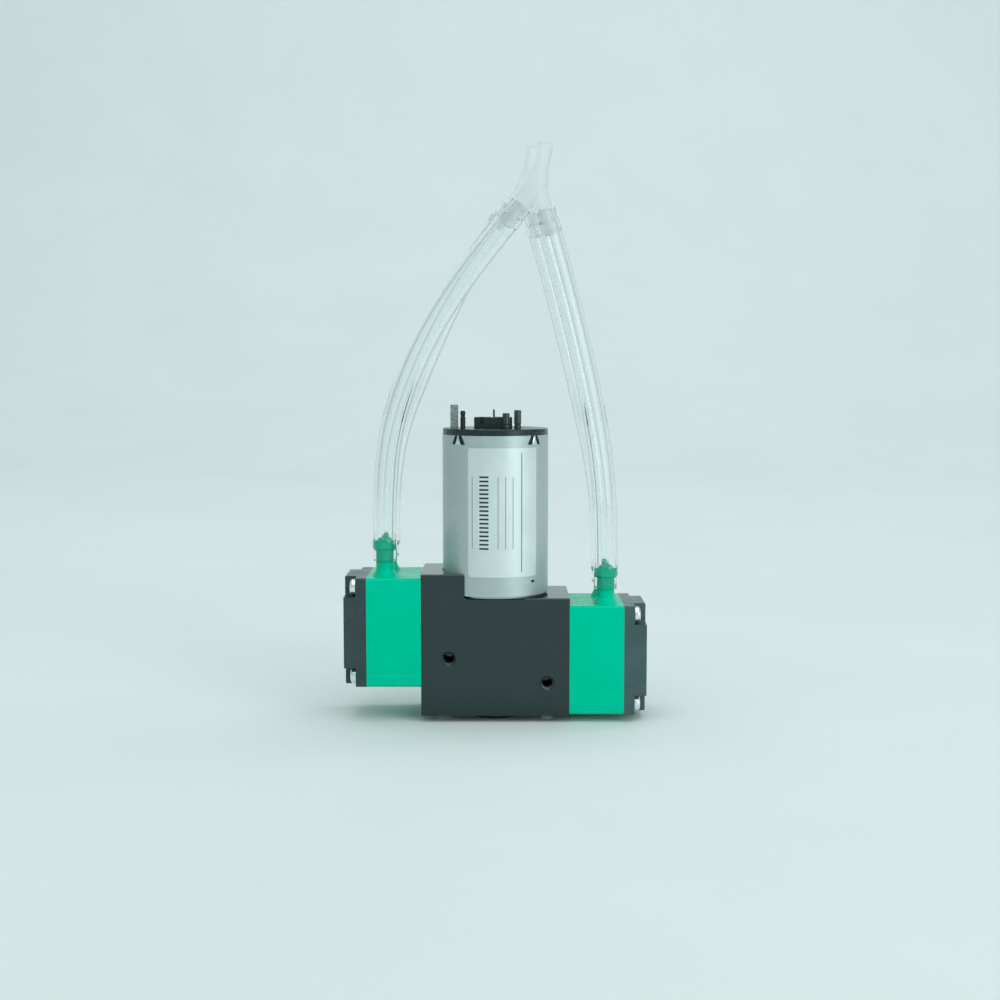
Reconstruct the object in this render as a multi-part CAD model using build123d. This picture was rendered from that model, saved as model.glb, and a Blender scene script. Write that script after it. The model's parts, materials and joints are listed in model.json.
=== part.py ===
from build123d import *

import math
import os

# Twin-head diaphragm vacuum pump with a brushless motor standing on its crankcase.
# Millimetres, +Z up. The origin is on the surface that the pump stands on, under the motor shaft.
# A pumping unit is drawn once, with +X pointing outwards from the shaft and Z = 0 at the centre
# of its head, and is then placed on the right, or mirrored and placed on the left.

# Crankcase
case_half_width = 24.9
case_half_depth = 15.0
case_bottom = 2.2
rod_headroom = 2.1
step_above_head = 1.3
cavity_radius = 12.6
top_wall = 5.1
case_edge = 0.4
thread_depth = 9.0
front_thread_radius = 2.1
front_thread_depth = 8.0
front_thread_left = (-15.7, 21.6)
front_thread_right = (17.4, 13.3)
thread_mouth = 0.35

# Clearances
seat_gap = 0.03
running_gap = 0.1
thread_gap = 0.05
screw_clearance = 0.2
swing_gap = 0.3
same_place = 0.01

# Bottom cover
cover_plate = 2.0
cover_round = 13.6
cover_ear_length = 20.6
cover_ear_width = 9.6
cover_corner = 2.4
cover_screw_x = 17.2
cover_screw_y = 7.0
boss_radius = 9.3
collar_wall = 2.3
boss_floor = 1.2
boss_chamfer = 0.5

# Ball bearings: bore radius, outer radius, width
shaft_radius = 2.0
shaft_bearing_outer = 6.5
shaft_bearing_width = 5.0
rod_bearing_bore = 4.5
rod_bearing_outer = 8.5
rod_bearing_width = 5.0
race_wall = 1.15
shield_thickness = 0.4

# Crank
throw = 1.5
rod_level_step = 9.3
hub_shoulder = 0.4
hub_shoulder_wall = 0.8
hub_flange_radius = 6.2
hub_overhang = 0.3
spacer_wall = 1.0
grub_radius = 1.25
grub_length = 4.0

# Connecting rods
rod_ring_wall = 2.1
rod_arm_width = 7.0
rod_arm_height = 4.2
rod_web_recess = 1.0
rod_web_rim = 1.2
rod_plate_radius = 7.5
rod_plate_thickness = 1.8
rod_screw_depth = 8.0
rod_slot_gap = 0.7

# Heads
head_thickness = 18.3
head_height = 36.8
head_bottom_gap = 0.5
head_edge = 0.7
chamber_depth = 4.4
chamber_floor_radius = 9.3
chamber_mouth_radius = 11.2
bead_radius = 13.1
bead_depth = 1.0
valve_y = 4.9
valve_web = 2.8
valve_recess = 1.4
valve_disc_radius = 3.8
valve_stem_radius = 1.0
valve_bulb_radius = 1.5
valve_bulb_recess = 1.9
valve_dome = 1.1
valve_dome_flat = 1.2
valve_rim = 0.45
valve_bulb_length = 0.9
valve_tip_radius = 0.6
flow_hole_radius = 0.6
flow_hole_circle = 2.6
flow_hole_count = 6
gallery_radius = 5.0
gallery_y = 5.9

# End covers
end_cover_thickness = 7.6
pocket_depth = 4.0
pocket_width = 6.5
pocket_height = 6.4
pocket_fillet = 0.8
gasket_thickness = 0.8
gasket_half_width = 12.4
gasket_half_height = 8.6
gasket_corner = 3.0

# Diaphragms
diaphragm_centre = 1.6
diaphragm_lift = 0.7
diaphragm_web = 0.8
clamp_disc_radius = 7.2
clamp_disc_thickness = 1.7

# Screws: thread radius, head radius, head height
m3_radius = 1.5
m3_head_radius = 2.75
m3_head_height = 2.0
m3_length = 30.0
m25_radius = 1.25
m25_head_radius = 2.25
m25_head_height = 2.0
m25_length = 8.0
cover_screw_head_radius = 2.4
cover_screw_length = 8.0
countersink_radius = 2.9
countersink_depth = 1.5
head_round = 0.7
head_screw_inset = 3.4
mount_screw_circle = 10.0
mount_screw_angle = 45.0

# Ports and hoses
port_x = 37.3
port_y = 8.0
port_bore = 1.5
neck_height = 5.0
neck_radius = 3.0
neck_flare = 4.2
neck_flare_height = 2.2
barb_length = 8.0
barb_root = 2.1
barb_crest = 2.75
barb_bead = 4.0
barb_shoulder = 0.5
barb_nose = 1.1
barb_tip = 2.0
hose_outer = 4.0
hose_inner = 2.5

# Y connectors: two arms that point down and out, and a stem that points up
y_half_angle = 28.0
y_arm = 16.8
y_seat = 8.3
y_body_radius = 3.6
y_body_neck = 3.0
y_stem = 14.4
y_stem_radius = 2.5
y_stem_chamfer = 0.4
front_y_place = (13.9, -6.0, 179.0)
front_y_tilt = 12.0
rear_y_place = (10.6, 6.0, 179.4)
rear_y_tilt = 11.0

# Motor
can_radius = 18.0
can_wall = 0.8
can_foot_gap = 0.6
can_length = 53.7
can_edge = 0.3
flange_thickness = 3.9
flange_step = 1.2
pilot_radius = 7.6
pilot_depth = 2.5
shaft_hole_clearance = 1.4
end_disc_thickness = 2.1
end_disc_inset = 0.1
skirt_wall = 1.5
skirt_length = 9.0
rear_hub_radius = 8.2
rear_hub_length = 7.4
relief_gap = 0.3
tab_slot_width = 0.9
tab_slot_height = 3.6
tab_slot_lean = 28.0
tab_half_spacing = 5.6
tab_count = 4
tab_turn = 1.5
stator_bottom_offset = 11.5
winding_room = 1.8
stator_yoke = 2.6
tooth_count = 6
tooth_width = 4.0
split_ratio = 0.62
tooth_tip_height = 1.2
tooth_tip_angle = 46.0
coil_fill = 0.57
coil_gap = 0.2
coil_tip_gap = 0.3
air_gap = 0.5
magnet_wall = 3.1
magnet_inset = 1.0
board_thickness = 1.4
board_hole_radius = 9.4
sensor_size = (3.0, 1.5, 1.6)
sensor_angles = (-60.0, 0.0, 60.0)

# Parts standing on the motor's end disc
post_inset = 4.2
post_y = -6.0
post_size = (2.6, 2.0, 8.0)
post_edge = 0.2
earth_pin_inset = 7.1
earth_pin_y = -7.0
earth_pin_radius = 0.65
earth_pin_height = 6.0
earth_bead_radius = 0.85
earth_bead_height = 1.8
header_x = (-7.2, 5.7)
header_y = (-5.0, 1.0)
header_height = 3.7
header_wall = 0.9
header_pin_count = 4
header_pin_width = 0.64
header_pin_height = 3.2
tall_pin_x = -0.5
tall_pin_height = 6.3
capacitor_radius = 1.2
capacitor_y = -7.4
capacitor_groove = 0.2
capacitor_foot = 1.1
capacitors_at = ((3.6, 5.2), (7.5, 6.2))

# Hoses. Each rises straight off its port, follows bends chosen by hand, and ends in line with an arm.
left_front_bends = [(-35.2, -7.7, 98.3), (-28.4, -7.1, 118.7), (-17.9, -6.4, 138.5)]
left_rear_bends = [(-34.3, 7.6, 96.6), (-26.4, 7.0, 116.8), (-17.4, 6.4, 137.0)]
right_front_bends = [(35.7, -7.8, 88.3), (31.9, -7.3, 110.0), (27.0, -6.5, 131.6)]
right_rear_bends = [(34.6, 7.7, 87.2), (29.8, 7.2, 108.4), (24.6, 6.4, 130.3)]
front_rise = 21.8
rear_rise = 21.3
left_lead = 28.0
right_lead = 27.3
hose_end_gap = 0.1
bend_share = 0.45

# Places worked out from the sizes above
right_head_z = case_bottom + head_bottom_gap + head_height / 2
head_screw_y = case_half_depth - head_screw_inset
head_screw_z = head_height / 2 - head_screw_inset
left_head_z = right_head_z + rod_level_step
case_top = left_head_z + rod_bearing_width / 2 + rod_headroom + m25_head_height + top_wall
step_top = left_head_z + head_height / 2 + step_above_head
cavity_top = case_top - top_wall
can_bottom = case_top + can_foot_gap
can_top = can_bottom + can_length
can_inner = can_radius - can_wall
plate_top = case_bottom + cover_plate
head_top_port = head_height / 2
cover_face = case_half_width + head_thickness
pocket_floor = cover_face + end_cover_thickness - pocket_depth
gallery_floor = case_half_width + chamber_depth + valve_recess + valve_web
plate_face = case_half_width + diaphragm_lift
clamp_face = plate_face + diaphragm_centre
rod_ring_radius = rod_bearing_outer + rod_ring_wall
front_bearing_z = can_bottom + flange_thickness - shaft_bearing_width
rear_bearing_top = can_top - rear_hub_length + shaft_bearing_width
shaft_bottom = boss_floor + running_gap
shaft_top = rear_bearing_top - running_gap
skirt_bottom = can_top - skirt_length
stator_bottom = can_bottom + stator_bottom_offset
yoke_outer = can_inner - seat_gap
yoke_inner = yoke_outer - stator_yoke
tooth_tip_radius = split_ratio * yoke_inner
magnet_radius = tooth_tip_radius - air_gap
rotor_core_radius = magnet_radius - magnet_wall
coil_inner_radius = tooth_tip_radius + tooth_tip_height + coil_tip_gap
coil_room = coil_inner_radius * math.tan(math.pi / tooth_count) - tooth_width / 2 - coil_gap
coil_build = coil_fill * coil_room
above_stator = coil_build + coil_gap + winding_room + sensor_size[2] + board_thickness + skirt_length
stator_length = can_length - stator_bottom_offset - above_stator
magnet_length = stator_length - 2 * magnet_inset
disc_top = can_top + end_disc_thickness
board_radius = can_inner - running_gap
sensor_circle = (board_radius + board_hole_radius) / 2


def disc(radius, z0, z1, x=0.0, y=0.0):
    """A round bar that stands along Z."""
    return Pos(x, y, (z0 + z1) / 2) * Cylinder(radius, z1 - z0)


def ring(outer, inner, z0, z1, x=0.0, y=0.0):
    """A round tube that stands along Z."""
    return disc(outer, z0, z1, x, y) - disc(inner, z0, z1, x, y)


def block(x0, x1, y0, y1, z0, z1):
    """A rectangular block between six planes."""
    return Pos((x0 + x1) / 2, (y0 + y1) / 2, (z0 + z1) / 2) * Box(x1 - x0, y1 - y0, z1 - z0)


def bar_x(radius, x0, x1, y=0.0, z=0.0):
    """A round bar that lies along X."""
    return Pos((x0 + x1) / 2, y, z) * Rot(0, 90, 0) * Cylinder(radius, x1 - x0)


def turned(points, axis=Axis.Z, plane=Plane.XZ):
    """A profile of straight runs turned round an axis. Points are (radius, height) for the Z axis."""
    return revolve(plane * make_face(Polyline(*points, close=True)), axis)


def turned_x(points):
    """A profile turned round X. Points are (x, radius)."""
    return revolve(make_face(Polyline(*points, close=True)), Axis.X)


def on_side(shape, side):
    """Puts a pumping unit's piece on the right (side = 1) or, mirrored, on the left (side = -1)."""
    if side < 0:
        return Pos(0, 0, left_head_z) * mirror(shape, about=Plane.YZ)
    return Pos(0, 0, right_head_z) * shape


def write(name, shape):
    """One STEP file per sub-part, named after it."""
    solids = shape if isinstance(shape, list) else [shape]
    solids = [solid for item in solids for solid in item.solids()]
    if len(solids) == 1:
        export_step(solids[0], f"parts/{name}.step")
    else:
        export_step(Compound(children=solids), f"parts/{name}.step")


def bearing_outer(bore, outer, z0, z1, x=0.0):
    """The outer race of a shielded ball bearing, with its two shields."""
    race = outer - race_wall
    shield = bore + race_wall + running_gap
    profile = [
        (shield, z0), (outer, z0), (outer, z1), (shield, z1), (shield, z1 - shield_thickness),
        (race, z1 - shield_thickness), (race, z0 + shield_thickness), (shield, z0 + shield_thickness),
    ]
    return Pos(x, 0, 0) * turned(profile)


def bearing_inner(bore, z0, z1, x=0.0):
    """The inner race of a ball bearing, a little shorter than the outer one."""
    return ring(bore + race_wall, bore, z0 + running_gap, z1 - running_gap, x)


def pan_head(radius, height):
    """A pan head that stands on Z = 0 and is rounded on top."""
    head = disc(radius, 0, height)
    return fillet(head.edges().group_by(Axis.Z)[-1], head_round)


def pan_screw(shank, head, height, length):
    """A pan-head screw along Z, with its head above Z = 0 and its shank below."""
    return pan_head(head, height) + disc(shank, -length, 0)


# Crankcase and bottom cover

def cover_outline(gap=0.0):
    """The round and the two ears of the bottom cover, seen from above."""
    ears = RectangleRounded(2 * (cover_ear_length + gap), 2 * (cover_ear_width + gap), cover_corner + gap)
    return Circle(cover_round + gap) + ears


def cover_screw_places():
    """The four screws in the bottom cover's ears."""
    return [(x, y) for x in (-cover_screw_x, cover_screw_x) for y in (-cover_screw_y, cover_screw_y)]


def mount_screw_places():
    """The four screws that hold the motor, on a circle round the shaft."""
    turns = [math.radians(mount_screw_angle + 90 * i) for i in range(4)]
    return [(mount_screw_circle * math.cos(t), mount_screw_circle * math.sin(t)) for t in turns]


def head_screw_places():
    """The four screws of a head, as Y and Z in its own unit."""
    return [(y, z) for y in (-head_screw_y, head_screw_y) for z in (-head_screw_z, head_screw_z)]


def make_side_cuts():
    """What a pumping unit takes out of the crankcase: diaphragm seat, rod slot and screw threads."""
    seat_depth = throw * 2 + rod_plate_thickness - diaphragm_lift + 2 * swing_gap
    inner_face = case_half_width - seat_depth
    cuts = bar_x(bead_radius + running_gap, case_half_width - bead_depth, case_half_width)
    cuts += bar_x(chamber_mouth_radius, inner_face, case_half_width)
    slot_width = 2 * (rod_ring_radius + rod_slot_gap)
    slot_height = rod_bearing_width + 2 * rod_slot_gap
    cuts += extrude(Plane.YZ * RectangleRounded(slot_width, slot_height, rod_slot_gap), inner_face)
    for y, z in head_screw_places():
        cuts += bar_x(m3_radius + thread_gap, case_half_width - thread_depth, case_half_width, y, z)
    return cuts


def make_crankcase():
    """The block that carries the motor, the two heads and the crank."""
    body = block(-case_half_width, case_half_width, -case_half_depth, case_half_depth, case_bottom, case_top)
    step = block(-case_half_width, 0, -case_half_depth, case_half_depth, case_top - top_wall, step_top)
    body = body + (step - disc(can_radius + relief_gap, case_top, step_top))
    along = body.edges().filter_by(Axis.X)
    long_edges = along.filter_by(lambda e: abs(abs(e.center().Y) - case_half_depth) < same_place)
    body = chamfer(long_edges, case_edge)
    body -= disc(cavity_radius, case_bottom, cavity_top)
    body -= disc(pilot_radius + seat_gap, cavity_top, case_top)
    body -= Pos(0, 0, case_bottom) * extrude(cover_outline(running_gap), cover_plate)
    thread_top = case_bottom + cover_screw_length + screw_clearance
    for x, y in cover_screw_places():
        body -= disc(m25_radius + thread_gap, plate_top, thread_top, x, y)
    for x, y in mount_screw_places():
        body -= disc(m25_radius + running_gap, cavity_top, case_top, x, y)
    cuts = make_side_cuts()
    body -= on_side(cuts, 1)
    body -= on_side(cuts, -1)
    for x, z in (front_thread_left, front_thread_right):
        hole = Cylinder(front_thread_radius, front_thread_depth)
        mouth = Cone(front_thread_radius + thread_mouth, front_thread_radius, thread_mouth)
        body -= Pos(x, -case_half_depth + front_thread_depth / 2, z) * Rot(90, 0, 0) * hole
        body -= Pos(x, -case_half_depth + thread_mouth / 2, z) * Rot(-90, 0, 0) * mouth
    return body


def make_bottom_cover():
    """The plate under the crank, with the round boss that holds the shaft's lower bearing."""
    plate = Pos(0, 0, case_bottom) * extrude(cover_outline(), cover_plate)
    boss = disc(boss_radius, 0, case_bottom)
    boss = chamfer(boss.edges().group_by(Axis.Z)[0], boss_chamfer)
    collar_top = boss_floor + shaft_bearing_width
    collar = disc(shaft_bearing_outer + collar_wall, plate_top, collar_top)
    body = plate + boss + collar
    body -= disc(shaft_bearing_outer + seat_gap, boss_floor, collar_top)
    for x, y in cover_screw_places():
        body -= disc(m25_radius + running_gap, case_bottom, plate_top, x, y)
    return body


def make_cover_screws():
    """Pan-head screws under the bottom cover: the pump stands on their heads and on the boss."""
    screw = Rot(180, 0, 0) * pan_screw(m25_radius, cover_screw_head_radius, case_bottom, cover_screw_length)
    return [Pos(x, y, case_bottom) * screw for x, y in cover_screw_places()]


def make_mount_screws():
    """Screws put in from the crank's cavity, up into the motor's flange."""
    screw = Rot(180, 0, 0) * pan_screw(m25_radius, m25_head_radius, m25_head_height, m25_length)
    return [Pos(x, y, cavity_top) * screw for x, y in mount_screw_places()]


# Crank

def make_eccentric_hub():
    """One steel hub with two round eccentrics, half a turn apart, and a flange between them."""
    half = rod_bearing_width / 2
    low = right_head_z - half - hub_overhang
    high = left_head_z + half + hub_overhang
    flange_low = right_head_z + half + hub_shoulder
    flange_high = left_head_z - half - hub_shoulder
    shoulder = rod_bearing_bore + hub_shoulder_wall
    hub = disc(hub_flange_radius, flange_low, flange_high)
    hub += disc(rod_bearing_bore - seat_gap, low, flange_low, throw)
    hub += disc(rod_bearing_bore - seat_gap, flange_high, high, -throw)
    hub += disc(shoulder, right_head_z + half, flange_low, throw)
    hub += disc(shoulder, flange_high, left_head_z - half, -throw)
    hub -= disc(shaft_radius + seat_gap, low, high)
    middle = (flange_low + flange_high) / 2
    hub -= Pos(0, -hub_flange_radius / 2, middle) * Rot(90, 0, 0) * Cylinder(
        grub_radius + thread_gap, hub_flange_radius)
    return hub


def make_grub_screw():
    """The set screw that locks the hub to the shaft, with its hexagon socket."""
    middle = (right_head_z + left_head_z) / 2
    start = shaft_radius + seat_gap
    grub = Pos(0, -start - grub_length / 2, middle) * Rot(90, 0, 0) * Cylinder(grub_radius, grub_length)
    socket = extrude(RegularPolygon(grub_radius / 2, 6), grub_length / 3)
    return grub - Pos(0, -start - grub_length * 2 / 3, middle) * Rot(90, 0, 0) * socket


def make_spacers():
    """Sleeves on the shaft between the bearings and the hub."""
    half = rod_bearing_width / 2
    tail_top = boss_floor + shaft_bearing_width
    low = right_head_z - half - hub_overhang
    high = left_head_z + half + hub_overhang
    outer = shaft_radius + spacer_wall
    return [
        ring(outer, shaft_radius + seat_gap, tail_top - running_gap, low),
        ring(outer, shaft_radius + seat_gap, high, front_bearing_z + running_gap),
    ]


def make_connecting_rod():
    """A rod with a ring for its bearing, an arm with a recessed web, and a round diaphragm plate."""
    half = rod_bearing_width / 2
    arm_start = throw + rod_bearing_outer
    arm_end = plate_face - rod_plate_thickness
    y = rod_arm_width / 2
    z = rod_arm_height / 2
    arm = block(arm_start, arm_end, -y, y, -z, z)
    rod = disc(rod_ring_radius, -half, half, throw) + arm
    rod += bar_x(rod_plate_radius, arm_end, plate_face)
    rod -= disc(rod_bearing_outer + seat_gap, -half, half, throw)
    web_start = throw + rod_ring_radius + rod_web_rim
    web_end = arm_end - rod_web_rim
    web = block(web_start, web_end, rod_web_rim - y, y - rod_web_rim, z - rod_web_recess, z)
    rod -= web
    rod -= mirror(web, about=Plane.XY)
    rod -= bar_x(m3_radius + thread_gap, plate_face - rod_screw_depth, plate_face)
    return rod


def make_clamp_disc():
    """The round plate that clamps the diaphragm's centre onto the rod."""
    back = clamp_face + clamp_disc_thickness
    top = back - countersink_depth
    hole = m3_radius + running_gap
    return turned_x([
        (clamp_face, hole), (clamp_face, clamp_disc_radius), (back - case_edge, clamp_disc_radius),
        (back, clamp_disc_radius - case_edge), (back, countersink_radius + running_gap), (top, hole)])


def make_clamp_screw():
    """The countersunk screw through the clamp disc and the diaphragm into the rod."""
    back = clamp_face + clamp_disc_thickness
    tip = plate_face - rod_screw_depth + screw_clearance
    return turned_x([
        (tip, 0), (tip, m3_radius), (back - countersink_depth, m3_radius),
        (back, countersink_radius), (back, 0)])


# Heads

def make_diaphragm():
    """A moulded diaphragm: clamped bead, rolling web and thick centre, drawn at outer dead centre."""
    rim = case_half_width
    inner = rod_plate_radius
    outer = chamber_mouth_radius - swing_gap
    back = plate_face
    front = plate_face + diaphragm_centre
    hole = m3_radius + running_gap
    half_web = diaphragm_web / 2
    middle = (inner + outer) / 2
    lines = [
        Line((back, hole), (back, inner)),
        ThreePointArc((back, inner), (rim - half_web, middle), (rim - half_web, outer)),
        Line((rim - half_web, outer), (rim - bead_depth, outer)),
        Line((rim - bead_depth, outer), (rim - bead_depth, bead_radius)),
        Line((rim - bead_depth, bead_radius), (rim + bead_depth, bead_radius)),
        Line((rim + bead_depth, bead_radius), (rim + bead_depth, outer)),
        Line((rim + bead_depth, outer), (rim + half_web, outer)),
        ThreePointArc((rim + half_web, outer), (rim + 2 * half_web, middle), (front, inner)),
        Line((front, inner), (front, hole)),
        Line((front, hole), (back, hole)),
    ]
    return revolve(make_face(lines), Axis.X)


def barb_outline(start, end):
    """Half the outline of a hose barb: a thin root and one wide bead at its end, for a turned profile."""
    bead_start = end - barb_bead
    return [
        (barb_root, start), (barb_root, bead_start), (barb_crest, bead_start + barb_shoulder),
        (barb_crest, end - barb_nose), (barb_tip, end), (0, end)]


def make_port(y):
    """A hose barb on top of a head, with its flared foot, still without its bore."""
    foot = [(0, 0), (neck_flare, 0), (neck_radius, neck_flare_height), (neck_radius, neck_height)]
    profile = foot + barb_outline(neck_height, neck_height + barb_length)
    return Pos(port_x, y, head_top_port) * turned(profile)


def make_head():
    """A head: diaphragm chamber inside, two valve galleries outside, and two hose barbs on top."""
    half = head_height / 2
    body = block(case_half_width, cover_face, -case_half_depth, case_half_depth, -half, half)
    long_edges = body.edges().filter_by(Axis.X)
    body = chamfer(long_edges, head_edge)
    for y in (-port_y, port_y):
        body += make_port(y)
    floor = case_half_width + chamber_depth
    body -= bar_x(bead_radius + running_gap, case_half_width, case_half_width + bead_depth)
    body -= turned_x([
        (case_half_width, 0), (case_half_width, chamber_mouth_radius),
        (case_half_width + bead_depth, chamber_mouth_radius), (floor, chamber_floor_radius), (floor, 0)])
    recesses = ((-1, valve_disc_radius + swing_gap), (1, valve_bulb_recess))
    for side, recess in recesses:
        y = side * valve_y
        body -= bar_x(recess, floor, floor + valve_recess, y)
        body -= bar_x(gallery_radius, gallery_floor, cover_face, side * gallery_y)
        body -= bar_x(valve_stem_radius + thread_gap, floor, gallery_floor, y)
        for i in range(flow_hole_count):
            turn = math.radians(360 / flow_hole_count * i)
            hole_y = y + flow_hole_circle * math.cos(turn)
            hole_z = flow_hole_circle * math.sin(turn)
            body -= bar_x(flow_hole_radius, floor, gallery_floor, hole_y, hole_z)
        body -= disc(port_bore, 0, head_top_port + neck_height + barb_length, port_x, side * port_y)
    for y, z in head_screw_places():
        body -= bar_x(m3_radius + screw_clearance, case_half_width, cover_face, y, z)
    return body


def make_valve(seat, direction, y):
    """An umbrella valve with its disc on the given face, opening in the given direction along X."""
    outline = [
        (valve_dome, 0), (valve_dome, valve_dome_flat),
        (valve_rim, valve_disc_radius), (0, valve_disc_radius),
        (0, valve_stem_radius), (-valve_web, valve_stem_radius), (-valve_web, valve_bulb_radius),
        (-valve_web - valve_bulb_length, valve_tip_radius), (-valve_web - valve_bulb_length, 0)]
    return Pos(0, y, 0) * turned_x([(seat + direction * along, radius) for along, radius in outline])


def gasket_outline():
    """The rounded rectangle of a cover gasket, in the YZ plane."""
    return Plane.YZ * RectangleRounded(2 * gasket_half_width, 2 * gasket_half_height, gasket_corner)


def make_gasket():
    """The flat gasket let into the end cover, with a window for each gallery."""
    sheet = Pos(cover_face, 0, 0) * extrude(gasket_outline(), gasket_thickness)
    for y in (-gallery_y, gallery_y):
        sheet -= bar_x(gallery_radius, cover_face, cover_face + gasket_thickness, y)
    return sheet


def make_end_cover():
    """The cover over the galleries. Its four corners are stepped down for the screw heads."""
    end = cover_face + end_cover_thickness
    half = head_height / 2
    body = block(cover_face, end, -case_half_depth, case_half_depth, -half, half)
    body = fillet(body.edges().filter_by(Axis.X), head_edge)
    body = fillet(body.edges().filter_by(lambda e: abs(e.center().X - end) < same_place), case_edge)
    for y in (-1, 1):
        for z in (-1, 1):
            corner = block(pocket_floor, end + 1, 0, pocket_width + 1, 0, pocket_height + 1)
            inner_edge = corner.edges().filter_by(Axis.X).sort_by(lambda e: e.center().Y + e.center().Z)[0]
            corner = fillet(inner_edge, pocket_fillet)
            corner = Pos(0, case_half_depth - pocket_width, half - pocket_height) * corner
            if y < 0:
                corner = mirror(corner, about=Plane.XZ)
            if z < 0:
                corner = mirror(corner, about=Plane.XY)
            body -= corner
    body -= Pos(cover_face, 0, 0) * extrude(gasket_outline(), gasket_thickness)
    for y, z in head_screw_places():
        body -= bar_x(m3_radius + screw_clearance, cover_face, pocket_floor, y, z)
    return body


def make_head_screws():
    """The four long screws that hold the cover and the head on the crankcase."""
    screw = Rot(0, 90, 0) * pan_screw(m3_radius, m3_head_radius, m3_head_height, m3_length)
    return [Pos(pocket_floor, y, z) * screw for y, z in head_screw_places()]


# Motor

def make_front_flange():
    """The motor's front flange: pilot, bearing seat and four threads for the mounting screws."""
    top = can_bottom + flange_thickness
    foot = can_inner - flange_step
    body = disc(can_inner - seat_gap, can_bottom, top)
    body += disc(foot, case_top, can_bottom)
    body += disc(pilot_radius, case_top - pilot_depth, case_top)
    body -= disc(shaft_bearing_outer + seat_gap, front_bearing_z, top)
    body -= disc(shaft_radius + shaft_hole_clearance, case_top - pilot_depth, top)
    for x, y in mount_screw_places():
        body -= disc(m25_radius + thread_gap, case_top, top, x, y)
    return body


def make_can():
    """The steel can. Pairs of leaning slots under its rim free the tabs that hold the end cap."""
    body = ring(can_radius, can_inner, can_bottom, can_top)
    body = fillet(body.edges().group_by(Axis.Z)[0].sort_by(SortBy.LENGTH)[-1], can_edge)
    slot = Box(4 * can_wall, tab_slot_width, tab_slot_height)
    slot_z = can_top - tab_slot_height / 2 + case_edge
    for i in range(tab_count):
        middle = 360 / tab_count * (i + 0.5) + tab_turn
        for side in (-1, 1):
            leaning = Pos(can_radius, 0, slot_z) * Rot(side * tab_slot_lean, 0, 0) * slot
            body -= Rot(0, 0, middle + side * tab_half_spacing) * leaning
    return body


def make_end_cap():
    """The black end disc with its skirt in the can and the hub of the rear bearing."""
    top = can_top + end_disc_thickness
    body = disc(can_radius - end_disc_inset, can_top, top)
    body = fillet(body.edges().group_by(Axis.Z)[-1], case_edge)
    body += ring(can_inner - seat_gap, can_inner - skirt_wall, skirt_bottom, can_top)
    body += disc(rear_hub_radius, can_top - rear_hub_length, can_top)
    body -= disc(shaft_bearing_outer + seat_gap, can_top - rear_hub_length, rear_bearing_top)
    return body


def make_stator_core():
    """The laminated core: an outer yoke and six teeth with curved tips."""
    sketch = Circle(yoke_outer) - Circle(yoke_inner)
    tip_outer = tooth_tip_radius + tooth_tip_height
    tip = Circle(tip_outer) - Circle(tooth_tip_radius)
    wedge_half = math.radians(tooth_tip_angle / 2)
    reach = 2 * tip_outer
    wedge = make_face(Polyline(
        (0, 0), (reach * math.cos(wedge_half), -reach * math.sin(wedge_half)),
        (reach * math.cos(wedge_half), reach * math.sin(wedge_half)), close=True))
    stem_length = yoke_inner - tooth_tip_radius + stator_yoke / 2
    stem_middle = tooth_tip_radius + tooth_tip_height / 2 + stem_length / 2
    stem = Pos(stem_middle, 0) * Rectangle(stem_length, tooth_width)
    tooth = (tip & wedge) + stem
    for i in range(tooth_count):
        sketch += Rot(0, 0, 360 / tooth_count * i) * tooth
    return Pos(0, 0, stator_bottom) * extrude(sketch, stator_length)


def make_windings():
    """One coil round each tooth."""
    inner_width = tooth_width + 2 * coil_gap
    inner_height = stator_length + 2 * coil_gap
    outside = RectangleRounded(inner_width + 2 * coil_build, inner_height + 2 * coil_build, coil_build)
    inside = RectangleRounded(inner_width, inner_height, coil_gap)
    corner_reach = math.sqrt(yoke_inner ** 2 - (inner_width / 2 + coil_build) ** 2)
    coil = extrude(Plane.YZ * (outside - inside), corner_reach - coil_gap - coil_inner_radius)
    coil = Pos(coil_inner_radius, 0, stator_bottom + stator_length / 2) * coil
    return [Rot(0, 0, 360 / tooth_count * i) * coil for i in range(tooth_count)]


def make_board():
    """The position-sensor board that rests against the end cap's skirt."""
    return ring(board_radius, board_hole_radius, skirt_bottom - board_thickness, skirt_bottom)


def make_sensors():
    """Three position sensors under the board."""
    length, width, height = sensor_size
    top = skirt_bottom - board_thickness
    sensor = Pos(sensor_circle, 0, top - height / 2) * Box(width, length, height)
    return [Rot(0, 0, turn) * sensor for turn in sensor_angles]


def make_rotor_core():
    """The sleeve that carries the magnet."""
    bottom = stator_bottom + (stator_length - magnet_length) / 2
    return ring(rotor_core_radius, shaft_radius + seat_gap, bottom, bottom + magnet_length)


def make_magnet():
    """The ring magnet."""
    bottom = stator_bottom + (stator_length - magnet_length) / 2
    return ring(magnet_radius, rotor_core_radius + seat_gap, bottom, bottom + magnet_length)


def make_shaft():
    """One shaft through the motor and the crank."""
    shaft = disc(shaft_radius, shaft_bottom, shaft_top)
    return chamfer(shaft.edges().filter_by(GeomType.CIRCLE), case_edge)


# Pieces on the end disc

def make_header():
    """The open connector housing."""
    x0, x1 = header_x
    y0, y1 = header_y
    top = disc_top + header_height
    body = block(x0, x1, y0, y1, disc_top, top)
    floor = disc_top + header_wall
    body -= block(x0 + header_wall, x1 - header_wall, y0 + header_wall, y1 - header_wall, floor, top)
    return body


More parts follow.
